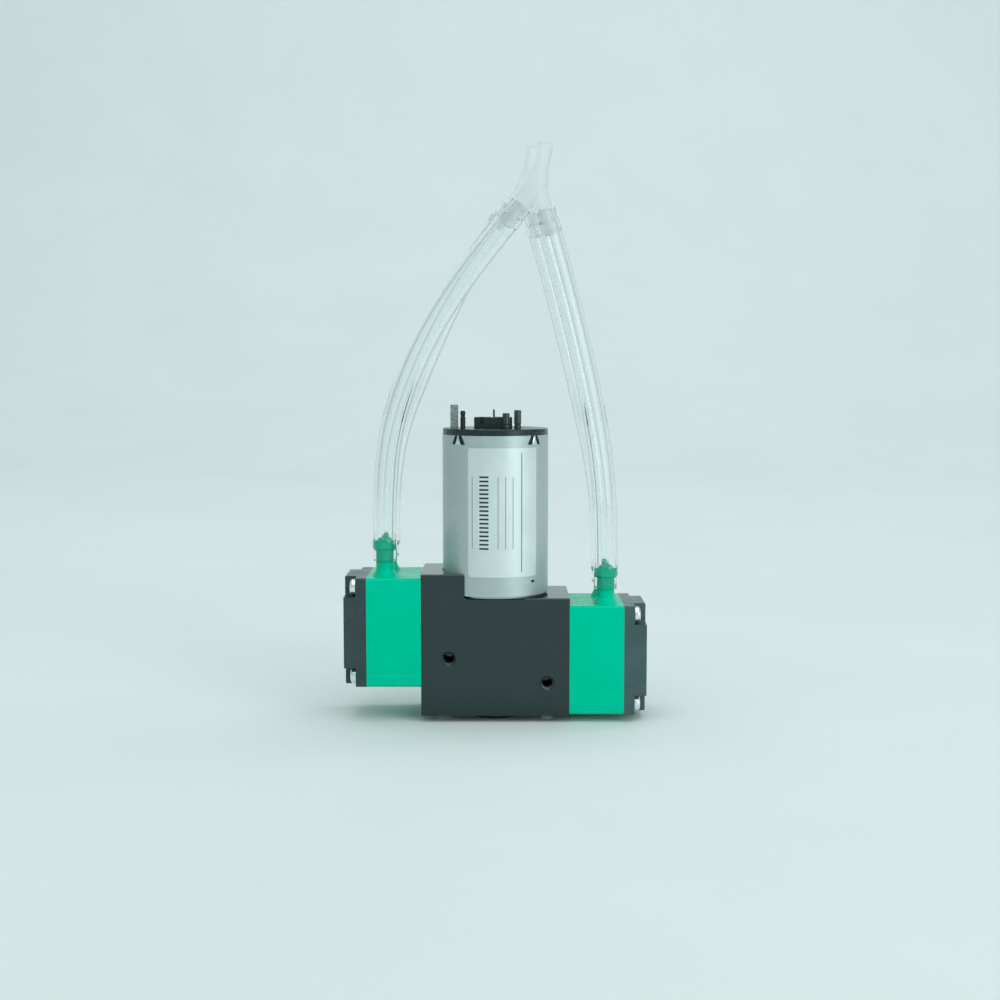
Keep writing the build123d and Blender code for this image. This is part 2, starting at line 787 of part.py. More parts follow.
def make_header_pins():
    """The row of square pins inside the housing and the one tall pin behind it."""
    x0, x1 = header_x
    y0, y1 = header_y
    pitch = (x1 - x0) / header_pin_count
    half = header_pin_width / 2
    middle = (y0 + y1) / 2
    foot = disc_top + header_wall
    pins = []
    for i in range(header_pin_count):
        x = x0 + pitch * (i + 0.5)
        tip = disc_top + header_pin_height
        pins.append(block(x - half, x + half, middle - half, middle + half, foot, tip))
    rear = y1 + header_pin_width
    pins.append(block(tall_pin_x - half, tall_pin_x + half, rear - half, rear + half, disc_top,
                      disc_top + tall_pin_height))
    return pins


def make_capacitors():
    """Two small can capacitors with the crimp groove near their foot."""
    made = []
    for x, height in capacitors_at:
        top = disc_top + height
        groove = disc_top + capacitor_foot
        inner = capacitor_radius - capacitor_groove
        profile = [
            (0, disc_top), (capacitor_radius, disc_top), (capacitor_radius, groove),
            (inner, groove + capacitor_groove), (capacitor_radius, groove + 2 * capacitor_groove),
            (capacitor_radius, top - capacitor_groove),
            (inner, top), (0, top)]
        made.append(Pos(x, capacitor_y, 0) * turned(profile))
    return made


def make_post():
    """The pale terminal post."""
    x = post_inset - can_radius
    y = post_y
    length, width, height = post_size
    post = block(x - length / 2, x + length / 2, y - width / 2, y + width / 2, disc_top, disc_top + height)
    return chamfer(post.edges().group_by(Axis.Z)[-1], post_edge)


def make_earth_pin():
    """The single dark pin with a bead at its tip."""
    x = earth_pin_inset - can_radius
    y = earth_pin_y
    neck = disc_top + earth_pin_height - earth_bead_height
    top = disc_top + earth_pin_height
    return Pos(x, y, 0) * turned([
        (0, disc_top), (earth_bead_radius, disc_top), (earth_bead_radius, neck - case_edge),
        (earth_pin_radius, neck), (earth_bead_radius, neck + case_edge),
        (earth_bead_radius, top - case_edge), (earth_pin_radius, top), (0, top)])


# Hoses and Y connectors

def arm_point(place, tilt, side, distance):
    """A point on the middle line of a Y connector's right arm (side = 1) or left arm (side = -1)."""
    turn = math.radians(180 - side * y_half_angle + tilt)
    x, y, z = place
    return x + distance * math.sin(turn), y, z + distance * math.cos(turn)


def hose_route(side, row, bends, place, tilt):
    """A hose's corner points, from its port in the front row (row = -1) or the rear row (row = 1)."""
    head_z = right_head_z if side > 0 else left_head_z
    rise = front_rise if row < 0 else rear_rise
    lead = right_lead if side > 0 else left_lead
    x = side * port_x
    y = row * port_y
    z = head_z + head_top_port + neck_height + hose_end_gap
    ends = [arm_point(place, tilt, side, lead), arm_point(place, tilt, side, y_seat)]
    return [(x, y, z), (x, y, z + rise)] + bends + ends


def make_hose(name, route):
    """A hose along straight runs joined by arcs as large as the runs allow. Prints its radii."""
    points = [Vector(*p) for p in route]
    runs = [b - a for a, b in zip(points, points[1:])]
    radii = []
    for before, after in zip(runs, runs[1:]):
        half_turn = math.radians(before.get_angle(after) / 2)
        radii.append(bend_share * min(before.length, after.length) / math.tan(half_turn))
    path = FilletPolyline(*points, radius=radii)
    section = Plane(origin=points[0], z_dir=runs[0]) * (Circle(hose_outer) - Circle(hose_inner))
    hose = sweep(section, path=path)
    expected = math.pi * (hose_outer ** 2 - hose_inner ** 2) * path.length
    print(name, "length", round(path.length, 1), "radii", [round(r) for r in radii],
          "volume", round(hose.volume, 1), "section x length", round(expected, 1))
    return hose


def make_y(place, tilt):
    """A Y connector with a plain stem above and two barbed arms below."""
    arm = turned([(0, 0), (y_body_neck, 0), (y_body_neck, y_seat)] + barb_outline(y_seat, y_arm))
    bore = disc(port_bore, 0, y_arm)
    stem = disc(y_stem_radius, 0, y_stem)
    stem = chamfer(stem.edges().group_by(Axis.Z)[-1], y_stem_chamfer)
    body = Sphere(y_body_radius) + stem
    for side in (-1, 1):
        body += Rot(0, 180 + side * y_half_angle, 0) * arm
    body += disc(y_body_neck, 0, y_seat / 2)
    body -= disc(port_bore, 0, y_stem)
    for side in (-1, 1):
        body -= Rot(0, 180 + side * y_half_angle, 0) * bore
    return Pos(*place) * Rot(0, tilt, 0) * body


def main():
    """Builds every piece and writes it."""
    os.makedirs("parts", exist_ok=True)
    tail_top = boss_floor + shaft_bearing_width
    front_top = front_bearing_z + shaft_bearing_width
    rear_bottom = rear_bearing_top - shaft_bearing_width
    half = rod_bearing_width / 2

    write("crankcase", make_crankcase())
    write("bottom_cover", make_bottom_cover())
    write("bottom_cover_screws", make_cover_screws())
    write("motor_mount_screws", make_mount_screws())

    write("motor_shaft", make_shaft())
    write("eccentric_hub", make_eccentric_hub())
    write("hub_grub_screw", make_grub_screw())
    write("shaft_spacers", make_spacers())
    outer = shaft_bearing_outer
    bore = shaft_radius + seat_gap
    write("tail_bearing_outer_ring", bearing_outer(bore, outer, boss_floor, tail_top))
    write("tail_bearing_inner_ring", bearing_inner(bore, boss_floor, tail_top))
    write("motor_front_bearing_outer_ring", bearing_outer(bore, outer, front_bearing_z, front_top))
    write("motor_front_bearing_inner_ring", bearing_inner(bore, front_bearing_z, front_top))
    write("motor_rear_bearing_outer_ring", bearing_outer(bore, outer, rear_bottom, rear_bearing_top))
    write("motor_rear_bearing_inner_ring", bearing_inner(bore, rear_bottom, rear_bearing_top))

    write("motor_front_flange", make_front_flange())
    write("motor_can", make_can())
    write("motor_end_cap", make_end_cap())
    write("stator_core", make_stator_core())
    write("stator_windings", make_windings())
    write("sensor_board", make_board())
    write("position_sensors", make_sensors())
    write("rotor_core", make_rotor_core())
    write("rotor_magnet", make_magnet())
    write("connector_header", make_header())
    write("connector_pins", make_header_pins())
    write("capacitors", make_capacitors())
    write("terminal_post", make_post())
    write("earth_pin", make_earth_pin())

    floor = case_half_width + chamber_depth + valve_recess
    unit = {
        "connecting_rod": make_connecting_rod(),
        "rod_bearing_outer_ring": bearing_outer(rod_bearing_bore, rod_bearing_outer, -half, half, throw),
        "rod_bearing_inner_ring": bearing_inner(rod_bearing_bore, -half, half, throw),
        "clamp_disc": make_clamp_disc(),
        "clamp_screw": make_clamp_screw(),
        "diaphragm": make_diaphragm(),
        "head_body": make_head(),
        "intake_valve": make_valve(floor, -1, -valve_y),
        "exhaust_valve": make_valve(gallery_floor, 1, valve_y),
        "cover_gasket": make_gasket(),
        "end_cover": make_end_cover(),
    }
    for prefix, side in (("left", -1), ("right", 1)):
        for name, shape in unit.items():
            write(f"{prefix}_{name}", on_side(shape, side))
        write(f"{prefix}_head_screws", [on_side(screw, side) for screw in make_head_screws()])

    write("front_y_connector", make_y(front_y_place, front_y_tilt))
    write("rear_y_connector", make_y(rear_y_place, rear_y_tilt))
    routes = {
        "left_front_hose": hose_route(-1, -1, left_front_bends, front_y_place, front_y_tilt),
        "left_rear_hose": hose_route(-1, 1, left_rear_bends, rear_y_place, rear_y_tilt),
        "right_front_hose": hose_route(1, -1, right_front_bends, front_y_place, front_y_tilt),
        "right_rear_hose": hose_route(1, 1, right_rear_bends, rear_y_place, rear_y_tilt),
    }
    for name, route in routes.items():
        write(name, make_hose(name, route))


main()
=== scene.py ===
"""Studio scene of a twin-head diaphragm vacuum pump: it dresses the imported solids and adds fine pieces."""

import json
import logging
import math
from contextlib import contextmanager
from dataclasses import dataclass, field
from enum import Enum
from typing import Callable, Iterator, Sequence

import bmesh
import bpy
from mathutils import Matrix, Vector


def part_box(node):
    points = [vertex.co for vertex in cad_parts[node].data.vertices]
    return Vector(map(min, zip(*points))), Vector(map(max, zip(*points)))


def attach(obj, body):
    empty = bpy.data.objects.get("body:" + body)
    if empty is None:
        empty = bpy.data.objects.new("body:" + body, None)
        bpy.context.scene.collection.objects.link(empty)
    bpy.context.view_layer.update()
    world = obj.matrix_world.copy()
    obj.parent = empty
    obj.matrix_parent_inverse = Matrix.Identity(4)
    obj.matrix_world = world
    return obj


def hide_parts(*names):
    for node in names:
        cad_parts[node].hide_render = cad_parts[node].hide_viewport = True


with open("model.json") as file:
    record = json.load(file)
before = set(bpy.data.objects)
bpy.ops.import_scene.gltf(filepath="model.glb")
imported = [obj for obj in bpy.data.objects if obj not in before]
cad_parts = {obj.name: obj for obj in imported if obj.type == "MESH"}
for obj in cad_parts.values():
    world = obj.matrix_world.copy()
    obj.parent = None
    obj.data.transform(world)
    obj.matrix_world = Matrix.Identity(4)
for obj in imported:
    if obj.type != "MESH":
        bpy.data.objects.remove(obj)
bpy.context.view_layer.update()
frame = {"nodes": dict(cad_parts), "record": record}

log = logging.getLogger("pump")

Point = tuple[float, float, float]
Colour = tuple[float, float, float]
PUMP = "pump"
TAU = 2 * math.pi

# Points nearer than the first are one point, edges shorter than the second are dropped,
# and the third is a gap or margin too small to see.
WELD = 1e-6
SLIVER = 1e-7
HAIR = 1e-5

# The least upright share of a face's normal that counts as facing up.
UPWARDS = 0.9

# The standard curve between screen values and linear light.
SCREEN_WHITE = 255
TOE_END = 0.04045
TOE_SLOPE = 12.92
CURVE_OFFSET = 0.055
CURVE_POWER = 2.4

# The smoothest skin that any finish has, and the dust's screen colour.
LEAST_ROUGHNESS = 0.02
DUST = (190, 200, 200)


class Side(Enum):
    """The two sides of the pump, seen from the front."""

    LEFT = -1
    RIGHT = 1

    @property
    def prefix(self) -> str:
        """The start of the names of this side's nodes."""
        return self.name.lower()


class Row(Enum):
    """The hose rows: in front of the shaft, or behind it."""

    FRONT = -1
    REAR = 1


class Brush(Enum):
    """How a finish's grain is scaled on each axis: drawn into lines round the upright one, or left even."""

    AROUND = (0.06, 0.06, 1.0)
    CAST = (1.0, 1.0, 1.0)


# Shader groups

def linear(red: int, green: int, blue: int) -> Colour:
    """Turns a screen colour into scene values.

    Args:
        red: Red, 0 to 255.
        green: Green, 0 to 255.
        blue: Blue, 0 to 255.

    Returns:
        The colour in linear light.
    """
    parts = []
    for value in (red, green, blue):
        share = value / SCREEN_WHITE
        curved = ((share + CURVE_OFFSET) / (1 + CURVE_OFFSET)) ** CURVE_POWER
        parts.append(share / TOE_SLOPE if share <= TOE_END else curved)
    return parts[0], parts[1], parts[2]


class ShaderGroup:
    """A node group with named sockets, made once and used by many finishes."""

    made: dict[str, bpy.types.NodeTree] = {}
    grain_detail: float = 3.0
    cloud_detail: float = 4.0
    cloud_roughness: float = 0.6
    cloud_range: tuple[float, float] = (0.35, 0.65)
    line_detail: float = 5.0
    line_roughness: float = 0.7
    line_range: tuple[float, float] = (0.3, 0.7)

    @classmethod
    def start(cls, name: str, inputs: dict[str, tuple[str, float]],
              outputs: dict[str, str]) -> bpy.types.NodeTree:
        """Makes an empty group with its sockets.

        Args:
            name: The group's name.
            inputs: Socket name to its kind and default value.
            outputs: Socket name to its kind.

        Returns:
            The new node tree.
        """
        tree = bpy.data.node_groups.new(name, "ShaderNodeTree")
        for label, (kind, default) in inputs.items():
            socket = tree.interface.new_socket(label, in_out="INPUT", socket_type=kind)
            if kind == "NodeSocketFloat":
                socket.default_value = default
        for label, kind in outputs.items():
            tree.interface.new_socket(label, in_out="OUTPUT", socket_type=kind)
        cls.made[name] = tree
        return tree

    @classmethod
    def grain(cls) -> bpy.types.NodeTree:
        """Fine moulded or blasted grain: a height and a soft mask from two sizes of noise."""
        if "fine_grain" in cls.made:
            return cls.made["fine_grain"]
        tree = cls.start(
            "fine_grain",
            {"Vector": ("NodeSocketVector", 0.0), "Scale": ("NodeSocketFloat", 4000.0),
             "Cloud": ("NodeSocketFloat", 90.0)},
            {"Height": "NodeSocketFloat", "Mask": "NodeSocketFloat"})
        nodes, links = tree.nodes, tree.links
        source = nodes.new("NodeGroupInput")
        target = nodes.new("NodeGroupOutput")
        fine = nodes.new("ShaderNodeTexNoise")
        fine.inputs["Detail"].default_value = cls.grain_detail
        links.new(source.outputs["Vector"], fine.inputs["Vector"])
        links.new(source.outputs["Scale"], fine.inputs["Scale"])
        cloud = nodes.new("ShaderNodeTexNoise")
        cloud.inputs["Detail"].default_value = cls.cloud_detail
        cloud.inputs["Roughness"].default_value = cls.cloud_roughness
        links.new(source.outputs["Vector"], cloud.inputs["Vector"])
        links.new(source.outputs["Cloud"], cloud.inputs["Scale"])
        soften = nodes.new("ShaderNodeMapRange")
        soften.inputs["From Min"].default_value = cls.cloud_range[0]
        soften.inputs["From Max"].default_value = cls.cloud_range[1]
        links.new(cloud.outputs["Fac"], soften.inputs["Value"])
        links.new(fine.outputs["Fac"], target.inputs["Height"])
        links.new(soften.outputs["Result"], target.inputs["Mask"])
        return tree

    @classmethod
    def brushed(cls) -> bpy.types.NodeTree:
        """Fine drawn lines: noise that is stretched by the vector's own scale."""
        if "drawn_lines" in cls.made:
            return cls.made["drawn_lines"]
        tree = cls.start(
            "drawn_lines",
            {"Vector": ("NodeSocketVector", 0.0), "Scale": ("NodeSocketFloat", 900.0)},
            {"Height": "NodeSocketFloat", "Mask": "NodeSocketFloat"})
        nodes, links = tree.nodes, tree.links
        source = nodes.new("NodeGroupInput")
        target = nodes.new("NodeGroupOutput")
        lines = nodes.new("ShaderNodeTexNoise")
        lines.inputs["Detail"].default_value = cls.line_detail
        lines.inputs["Roughness"].default_value = cls.line_roughness
        links.new(source.outputs["Vector"], lines.inputs["Vector"])
        links.new(source.outputs["Scale"], lines.inputs["Scale"])
        spread = nodes.new("ShaderNodeMapRange")
        spread.inputs["From Min"].default_value = cls.line_range[0]
        spread.inputs["From Max"].default_value = cls.line_range[1]
        links.new(lines.outputs["Fac"], spread.inputs["Value"])
        links.new(lines.outputs["Fac"], target.inputs["Height"])
        links.new(spread.outputs["Result"], target.inputs["Mask"])
        return tree

    @classmethod
    def specks(cls) -> bpy.types.NodeTree:
        """Sparse dust specks, a few to the centimetre."""
        if "dust_specks" in cls.made:
            return cls.made["dust_specks"]
        tree = cls.start(
            "dust_specks",
            {"Vector": ("NodeSocketVector", 0.0), "Scale": ("NodeSocketFloat", 500.0),
             "Size": ("NodeSocketFloat", 0.09)},
            {"Mask": "NodeSocketFloat"})
        nodes, links = tree.nodes, tree.links
        source = nodes.new("NodeGroupInput")
        target = nodes.new("NodeGroupOutput")
        cells = nodes.new("ShaderNodeTexVoronoi")
        cells.inputs["Randomness"].default_value = 1.0
        links.new(source.outputs["Vector"], cells.inputs["Vector"])
        links.new(source.outputs["Scale"], cells.inputs["Scale"])
        near = nodes.new("ShaderNodeMath")
        near.operation = "LESS_THAN"
        links.new(cells.outputs["Distance"], near.inputs[0])
        links.new(source.outputs["Size"], near.inputs[1])
        links.new(near.outputs["Value"], target.inputs["Mask"])
        return tree


def grain_skin(made: bpy.types.Material, grain: bpy.types.Node, roughness: tuple[float, float],
               bump: float, distance: float) -> None:
    """Lets a grain rule how rough and how uneven a material is.

    Args:
        made: The material.
        grain: The grain's node, with its mask and height.
        roughness: The least and the greatest roughness.
        bump: The relief's strength.
        distance: The relief's height.
    """
    nodes, links = made.node_tree.nodes, made.node_tree.links
    shader = nodes["Principled BSDF"]
    rough = nodes.new("ShaderNodeMapRange")
    rough.inputs["To Min"].default_value = roughness[0]
    rough.inputs["To Max"].default_value = roughness[1]
    links.new(grain.outputs["Mask"], rough.inputs["Value"])
    links.new(rough.outputs["Result"], shader.inputs["Roughness"])
    relief = nodes.new("ShaderNodeBump")
    relief.inputs["Strength"].default_value = bump
    relief.inputs["Distance"].default_value = distance
    links.new(grain.outputs["Height"], relief.inputs["Height"])
    links.new(relief.outputs["Normal"], shader.inputs["Normal"])


@dataclass(frozen=True)
class Finish:
    """A finish that shows grain, slow colour changes and a rough or smooth skin.

    The colours are screen values from 0 to 255.
    """

    name: str
    colour: tuple[int, int, int]
    shade: tuple[int, int, int]
    roughness: float = 0.5
    roughness_spread: float = 0.08
    metallic: float = 0.0
    specular: float = 0.5
    specular_tint: Colour = (1.0, 1.0, 1.0)
    coat: float = 0.0
    grain_scale: float = 4000.0
    cloud_scale: float = 90.0
    bump: float = 0.1
    bump_distance: float = 0.00005
    brush: Brush = Brush.CAST
    dust: float = 0.0

    def vector(self, nodes: bpy.types.Nodes, links: bpy.types.NodeLinks) -> bpy.types.NodeSocket:
        """The place on the object, stretched along the finish's lines.

        Args:
            nodes: The material's nodes.
            links: The material's links.

        Returns:
            The socket that holds the vector.
        """
        place = nodes.new("ShaderNodeTexCoord")
        stretch = nodes.new("ShaderNodeMapping")
        stretch.inputs["Scale"].default_value = self.brush.value
        links.new(place.outputs["Object"], stretch.inputs["Vector"])
        return stretch.outputs["Vector"]

    def surface(self, made: bpy.types.Material, grain: bpy.types.Node) -> bpy.types.NodeSocket:
        """The finish's two colours, mixed by the grain's mask.

        Args:
            made: The material.
            grain: The grain's node.

        Returns:
            The socket that holds the colour.
        """
        blend = made.node_tree.nodes.new("ShaderNodeMix")
        blend.data_type = "RGBA"
        blend.inputs["A"].default_value = (*linear(*self.shade), 1.0)
        blend.inputs["B"].default_value = (*linear(*self.colour), 1.0)
        made.node_tree.links.new(grain.outputs["Mask"], blend.inputs["Factor"])
        return blend.outputs["Result"]

    def dusted(self, made: bpy.types.Material, vector: bpy.types.NodeSocket,
               surface: bpy.types.NodeSocket) -> bpy.types.NodeSocket:
        """The colour with faint specks of dust on it.

        Args:
            made: The material.
            vector: The socket that holds the place on the object.
            surface: The socket that holds the clean colour.

        Returns:
            The socket that holds the dusty colour.
        """
        nodes, links = made.node_tree.nodes, made.node_tree.links
        specks = nodes.new("ShaderNodeGroup")
        specks.node_tree = ShaderGroup.specks()
        links.new(vector, specks.inputs["Vector"])
        faint = nodes.new("ShaderNodeMath")
        faint.operation = "MULTIPLY"
        faint.inputs[1].default_value = self.dust
        links.new(specks.outputs["Mask"], faint.inputs[0])
        dusty = nodes.new("ShaderNodeMix")
        dusty.data_type = "RGBA"
        dusty.inputs["B"].default_value = (*linear(*DUST), 1.0)
        links.new(faint.outputs["Value"], dusty.inputs["Factor"])
        links.new(surface, dusty.inputs["A"])
        return dusty.outputs["Result"]

    def material(self) -> bpy.types.Material:
        """Builds the material, or gives the one that was built before.

        Returns:
            The material.
        """
        found = bpy.data.materials.get(self.name)
        if found:
            return found
        made = bpy.data.materials.new(self.name)
        made.use_nodes = True
        nodes, links = made.node_tree.nodes, made.node_tree.links
        shader = nodes["Principled BSDF"]
        shader.inputs["Metallic"].default_value = self.metallic
        shader.inputs["Specular IOR Level"].default_value = self.specular
        shader.inputs["Specular Tint"].default_value = (*self.specular_tint, 1.0)
        shader.inputs["Coat Weight"].default_value = self.coat
        vector = self.vector(nodes, links)
        grain = nodes.new("ShaderNodeGroup")
        grain.node_tree = ShaderGroup.grain() if self.brush is Brush.CAST else ShaderGroup.brushed()
        grain.inputs["Scale"].default_value = self.grain_scale
        if self.brush is Brush.CAST:
            grain.inputs["Cloud"].default_value = self.cloud_scale
        links.new(vector, grain.inputs["Vector"])
        surface = self.surface(made, grain)
        if self.dust > 0:
            surface = self.dusted(made, vector, surface)
        links.new(surface, shader.inputs["Base Color"])
        least = max(LEAST_ROUGHNESS, self.roughness - self.roughness_spread)
        most = min(1.0, self.roughness + self.roughness_spread)
        grain_skin(made, grain, (least, most), self.bump, self.bump_distance)
        return made


@dataclass(frozen=True)
class ClearFinish:
    """A see-through finish, from clear hose to milky plastic. The colour is a screen value."""

    name: str
    colour: tuple[int, int, int]
    transmission: float = 1.0
    roughness: float = 0.08
    index: float = 1.3
    haze_scale: float = 300.0
    haze: float = 0.04
    bump: float = 0.02
    bump_distance: float = 0.0001

    def material(self) -> bpy.types.Material:
        """Builds the material, or gives the one that was built before.

        Returns:
            The material.
        """
        found = bpy.data.materials.get(self.name)
        if found:
            return found
        made = bpy.data.materials.new(self.name)
        made.use_nodes = True
        nodes, links = made.node_tree.nodes, made.node_tree.links
        shader = nodes["Principled BSDF"]
        shader.inputs["Base Color"].default_value = (*linear(*self.colour), 1.0)
        shader.inputs["Transmission Weight"].default_value = self.transmission
        shader.inputs["IOR"].default_value = self.index
        place = nodes.new("ShaderNodeTexCoord")
        grain = nodes.new("ShaderNodeGroup")
        grain.node_tree = ShaderGroup.grain()
        grain.inputs["Scale"].default_value = self.haze_scale
        links.new(place.outputs["Object"], grain.inputs["Vector"])
        roughness = (self.roughness, self.roughness + self.haze)
        grain_skin(made, grain, roughness, self.bump, self.bump_distance)
        return made


BLACK_ALLOY = Finish("black_anodised_alloy", (15, 36, 39), (11, 31, 34), roughness=0.1,
                     roughness_spread=0.02, specular=0.66, specular_tint=(0.88, 1.0, 1.0), bump=0.04,
                     dust=0.03)
GREEN_PLASTIC = Finish("green_moulded_plastic", (0, 204, 161), (0, 200, 156), roughness=0.26, specular=0.4,
                       specular_tint=(0.0, 1.0, 0.85), bump=0.05)
COVER_PLASTIC = Finish("cover_moulded_plastic", (44, 66, 69), (36, 57, 60), roughness=0.25, specular=0.5,
                       bump=0.25, bump_distance=0.0001, dust=0.05)
# Painted light: the right end cover gets this lighter copy of the cover finish, which brightens it.
PAINTED_LIT_COVER = Finish("painted_light_cover_plastic", (68, 92, 94), (59, 82, 84), roughness=0.28, specular=0.5,
                     bump=0.25, bump_distance=0.0001, dust=0.05)
SCREW_STEEL = Finish("plated_screw_steel", (246, 252, 252), (228, 238, 238), roughness=0.28, metallic=1.0,
                     bump=0.04)
CAN_STEEL = Finish("drawn_can_steel", (196, 207, 207), (182, 194, 194), roughness=0.42, metallic=0.62,
                   brush=Brush.AROUND, grain_scale=2500.0, bump=0.05)
FLANGE_ALLOY = Finish("turned_flange_alloy", (190, 196, 196), (160, 166, 168), roughness=0.35, metallic=1.0)
BLACK_PLASTIC = Finish("dull_black_plastic", (22, 42, 44), (15, 32, 34), roughness=0.26, specular=0.5,
                       bump=0.08, dust=0.04)
CLEAR_HOSE = ClearFinish("clear_soft_hose", (253, 255, 255), roughness=0.0, haze=0.01, index=1.41)
CUT_HOSE = Finish("cut_hose_end", (226, 240, 240), (214, 230, 230), roughness=0.5, specular=0.3, bump=0.1)
MILKY_PLASTIC = ClearFinish("milky_moulded_plastic", (255, 255, 255), transmission=0.9, roughness=0.3,
                            index=1.12)
RUBBER = Finish("moulded_rubber", (26, 27, 29), (20, 21, 23), roughness=0.75, specular=0.3, bump=0.2)
VALVE_RUBBER = Finish("silicone_rubber", (150, 70, 48), (135, 60, 40), roughness=0.6, specular=0.3,
                      bump=0.1)
BEARING_STEEL = Finish("ground_bearing_steel", (210, 212, 214), (190, 193, 196), roughness=0.15,
                       metallic=1.0, brush=Brush.AROUND)
SHAFT_STEEL = Finish("ground_shaft_steel", (200, 202, 204), (175, 178, 180), roughness=0.22, metallic=1.0,
                     brush=Brush.AROUND)
ROD_ALLOY = Finish("machined_rod_alloy", (196, 199, 203), (170, 174, 178), roughness=0.38, metallic=1.0)
SPACER_BRASS = Finish("turned_spacer_brass", (198, 168, 96), (176, 146, 78), roughness=0.3, metallic=1.0,
                      brush=Brush.AROUND)
LAMINATION = Finish("stacked_lamination", (92, 94, 98), (62, 64, 68), roughness=0.5, metallic=0.8,
                    brush=Brush.AROUND, grain_scale=6000.0, bump=0.4)
COPPER_WIRE = Finish("enamelled_copper_wire", (190, 96, 46), (140, 62, 26), roughness=0.32, metallic=0.9,
                     brush=Brush.AROUND, grain_scale=7000.0, bump=0.6)
MAGNET_GREY = Finish("sintered_magnet", (86, 88, 92), (72, 74, 78), roughness=0.6, metallic=0.5, bump=0.25)
BOARD_GREEN = Finish("lacquered_board", (22, 92, 52), (14, 70, 40), roughness=0.3, specular=0.5, coat=0.3)
PIN_TIN = Finish("tinned_pin", (62, 70, 71), (44, 52, 53), roughness=0.4, metallic=0.8)
POST_GREY = Finish("mottled_grey_post", (150, 166, 165), (92, 110, 110), roughness=0.6, cloud_scale=1400.0,
                   bump=0.3)
TONGUE_STEEL = Finish("crimped_tongue_steel", (225, 235, 235), (205, 218, 218), roughness=0.3, metallic=1.0,
                      bump=0.05)
SLOT_SHADE = Finish("shaded_crimp_slot", (12, 22, 23), (8, 16, 17), roughness=0.7, specular=0.15, bump=0.04)
SLEEVE_PLASTIC = Finish("shrunk_sleeve_plastic", (52, 70, 73), (38, 54, 57), roughness=0.24, specular=0.6,
                        bump=0.06)
LABEL_PAPER = Finish("coated_label_paper", (226, 234, 234), (218, 227, 227), roughness=0.4, metallic=0.35,
                     specular=0.5, bump=0.04)
LABEL_INK = Finish("grey_label_ink", (48, 60, 62), (38, 50, 52), roughness=0.5, specular=0.4, bump=0.04)
TAPPED_ALLOY = Finish("tapped_bare_alloy", (120, 132, 134), (84, 96, 98), roughness=0.35, metallic=0.9,
                      bump=0.1)
GASKET_RUBBER = Finish("cut_gasket_sheet", (30, 31, 33), (24, 25, 27), roughness=0.8, specular=0.2,
                       bump=0.3)
TABLE = Finish("pale_table", (238, 240, 240), (235, 237, 237), roughness=0.85, specular=0.1,
               grain_scale=900.0, cloud_scale=6.0, bump=0.12, bump_distance=0.0004)

Dress = Finish | ClearFinish

SLOT_FINISHES: dict[str, Dress] = {
    "black_alloy": BLACK_ALLOY,
    "green_plastic": GREEN_PLASTIC,
    "cover_plastic": COVER_PLASTIC,
    "screw_steel": SCREW_STEEL,
    "plated_steel": CAN_STEEL,
    "flange_alloy": FLANGE_ALLOY,
    "black_plastic": BLACK_PLASTIC,
    "clear_hose": CLEAR_HOSE,
    "natural_plastic": MILKY_PLASTIC,
    "diaphragm_rubber": RUBBER,
    "valve_rubber": VALVE_RUBBER,
    "gasket_rubber": GASKET_RUBBER,
    "bearing_steel": BEARING_STEEL,
    "shaft_steel": SHAFT_STEEL,
    "rod_alloy": ROD_ALLOY,
    "spacer_brass": SPACER_BRASS,
    "lamination": LAMINATION,
    "copper_wire": COPPER_WIRE,
    "magnet_grey": MAGNET_GREY,
    "board_green": BOARD_GREEN,
    "pin_tin": PIN_TIN,
    "post_grey": POST_GREY,
}


# Camera and studio

@dataclass
class PhotoCamera:
    """The camera at the photograph's place, worked out from the pump's own proportions."""

    place: Point = (0.00157, -0.5111, 0.11807)
    pitch_down: float = 4.95
    lens: float = 54.0
    sensor: float = 36.0
    nearest: float = 0.01
    farthest: float = 20.0

    def build(self) -> None:
        """Makes the camera and sets it as the scene's own."""
        data = bpy.data.cameras.new("photo_camera")
        data.lens = self.lens
        data.sensor_width = self.sensor
        data.clip_start = self.nearest
        data.clip_end = self.farthest
        camera = bpy.data.objects.new("photo_camera", data)
        camera.location = self.place
        camera.rotation_euler = (math.radians(90 - self.pitch_down), 0, 0)
        bpy.context.collection.objects.link(camera)
        bpy.context.scene.camera = camera


@dataclass(frozen=True)
class Lamp:
    """One soft rectangular light: its place, the point it faces, its size, its watts and its spread."""

    name: str
    place: Point
    aim: Point
    size: tuple[float, float]
    power: float
    spread: float = 180.0
    colour: Colour = (0.88, 1.0, 1.0)

    def build(self) -> None:
        """Makes the light and turns it to its aim."""
        data = bpy.data.lights.new(self.name, "AREA")
        data.shape = "RECTANGLE"
        data.size, data.size_y = self.size
        data.energy = self.power
        data.spread = math.radians(self.spread)
        data.color = self.colour
        lamp = bpy.data.objects.new(self.name, data)
        lamp.location = self.place
        direction = Vector(self.aim) - Vector(self.place)
        lamp.rotation_mode = "QUATERNION"
        lamp.rotation_quaternion = direction.to_track_quat("-Z", "Y")
        bpy.context.collection.objects.link(lamp)


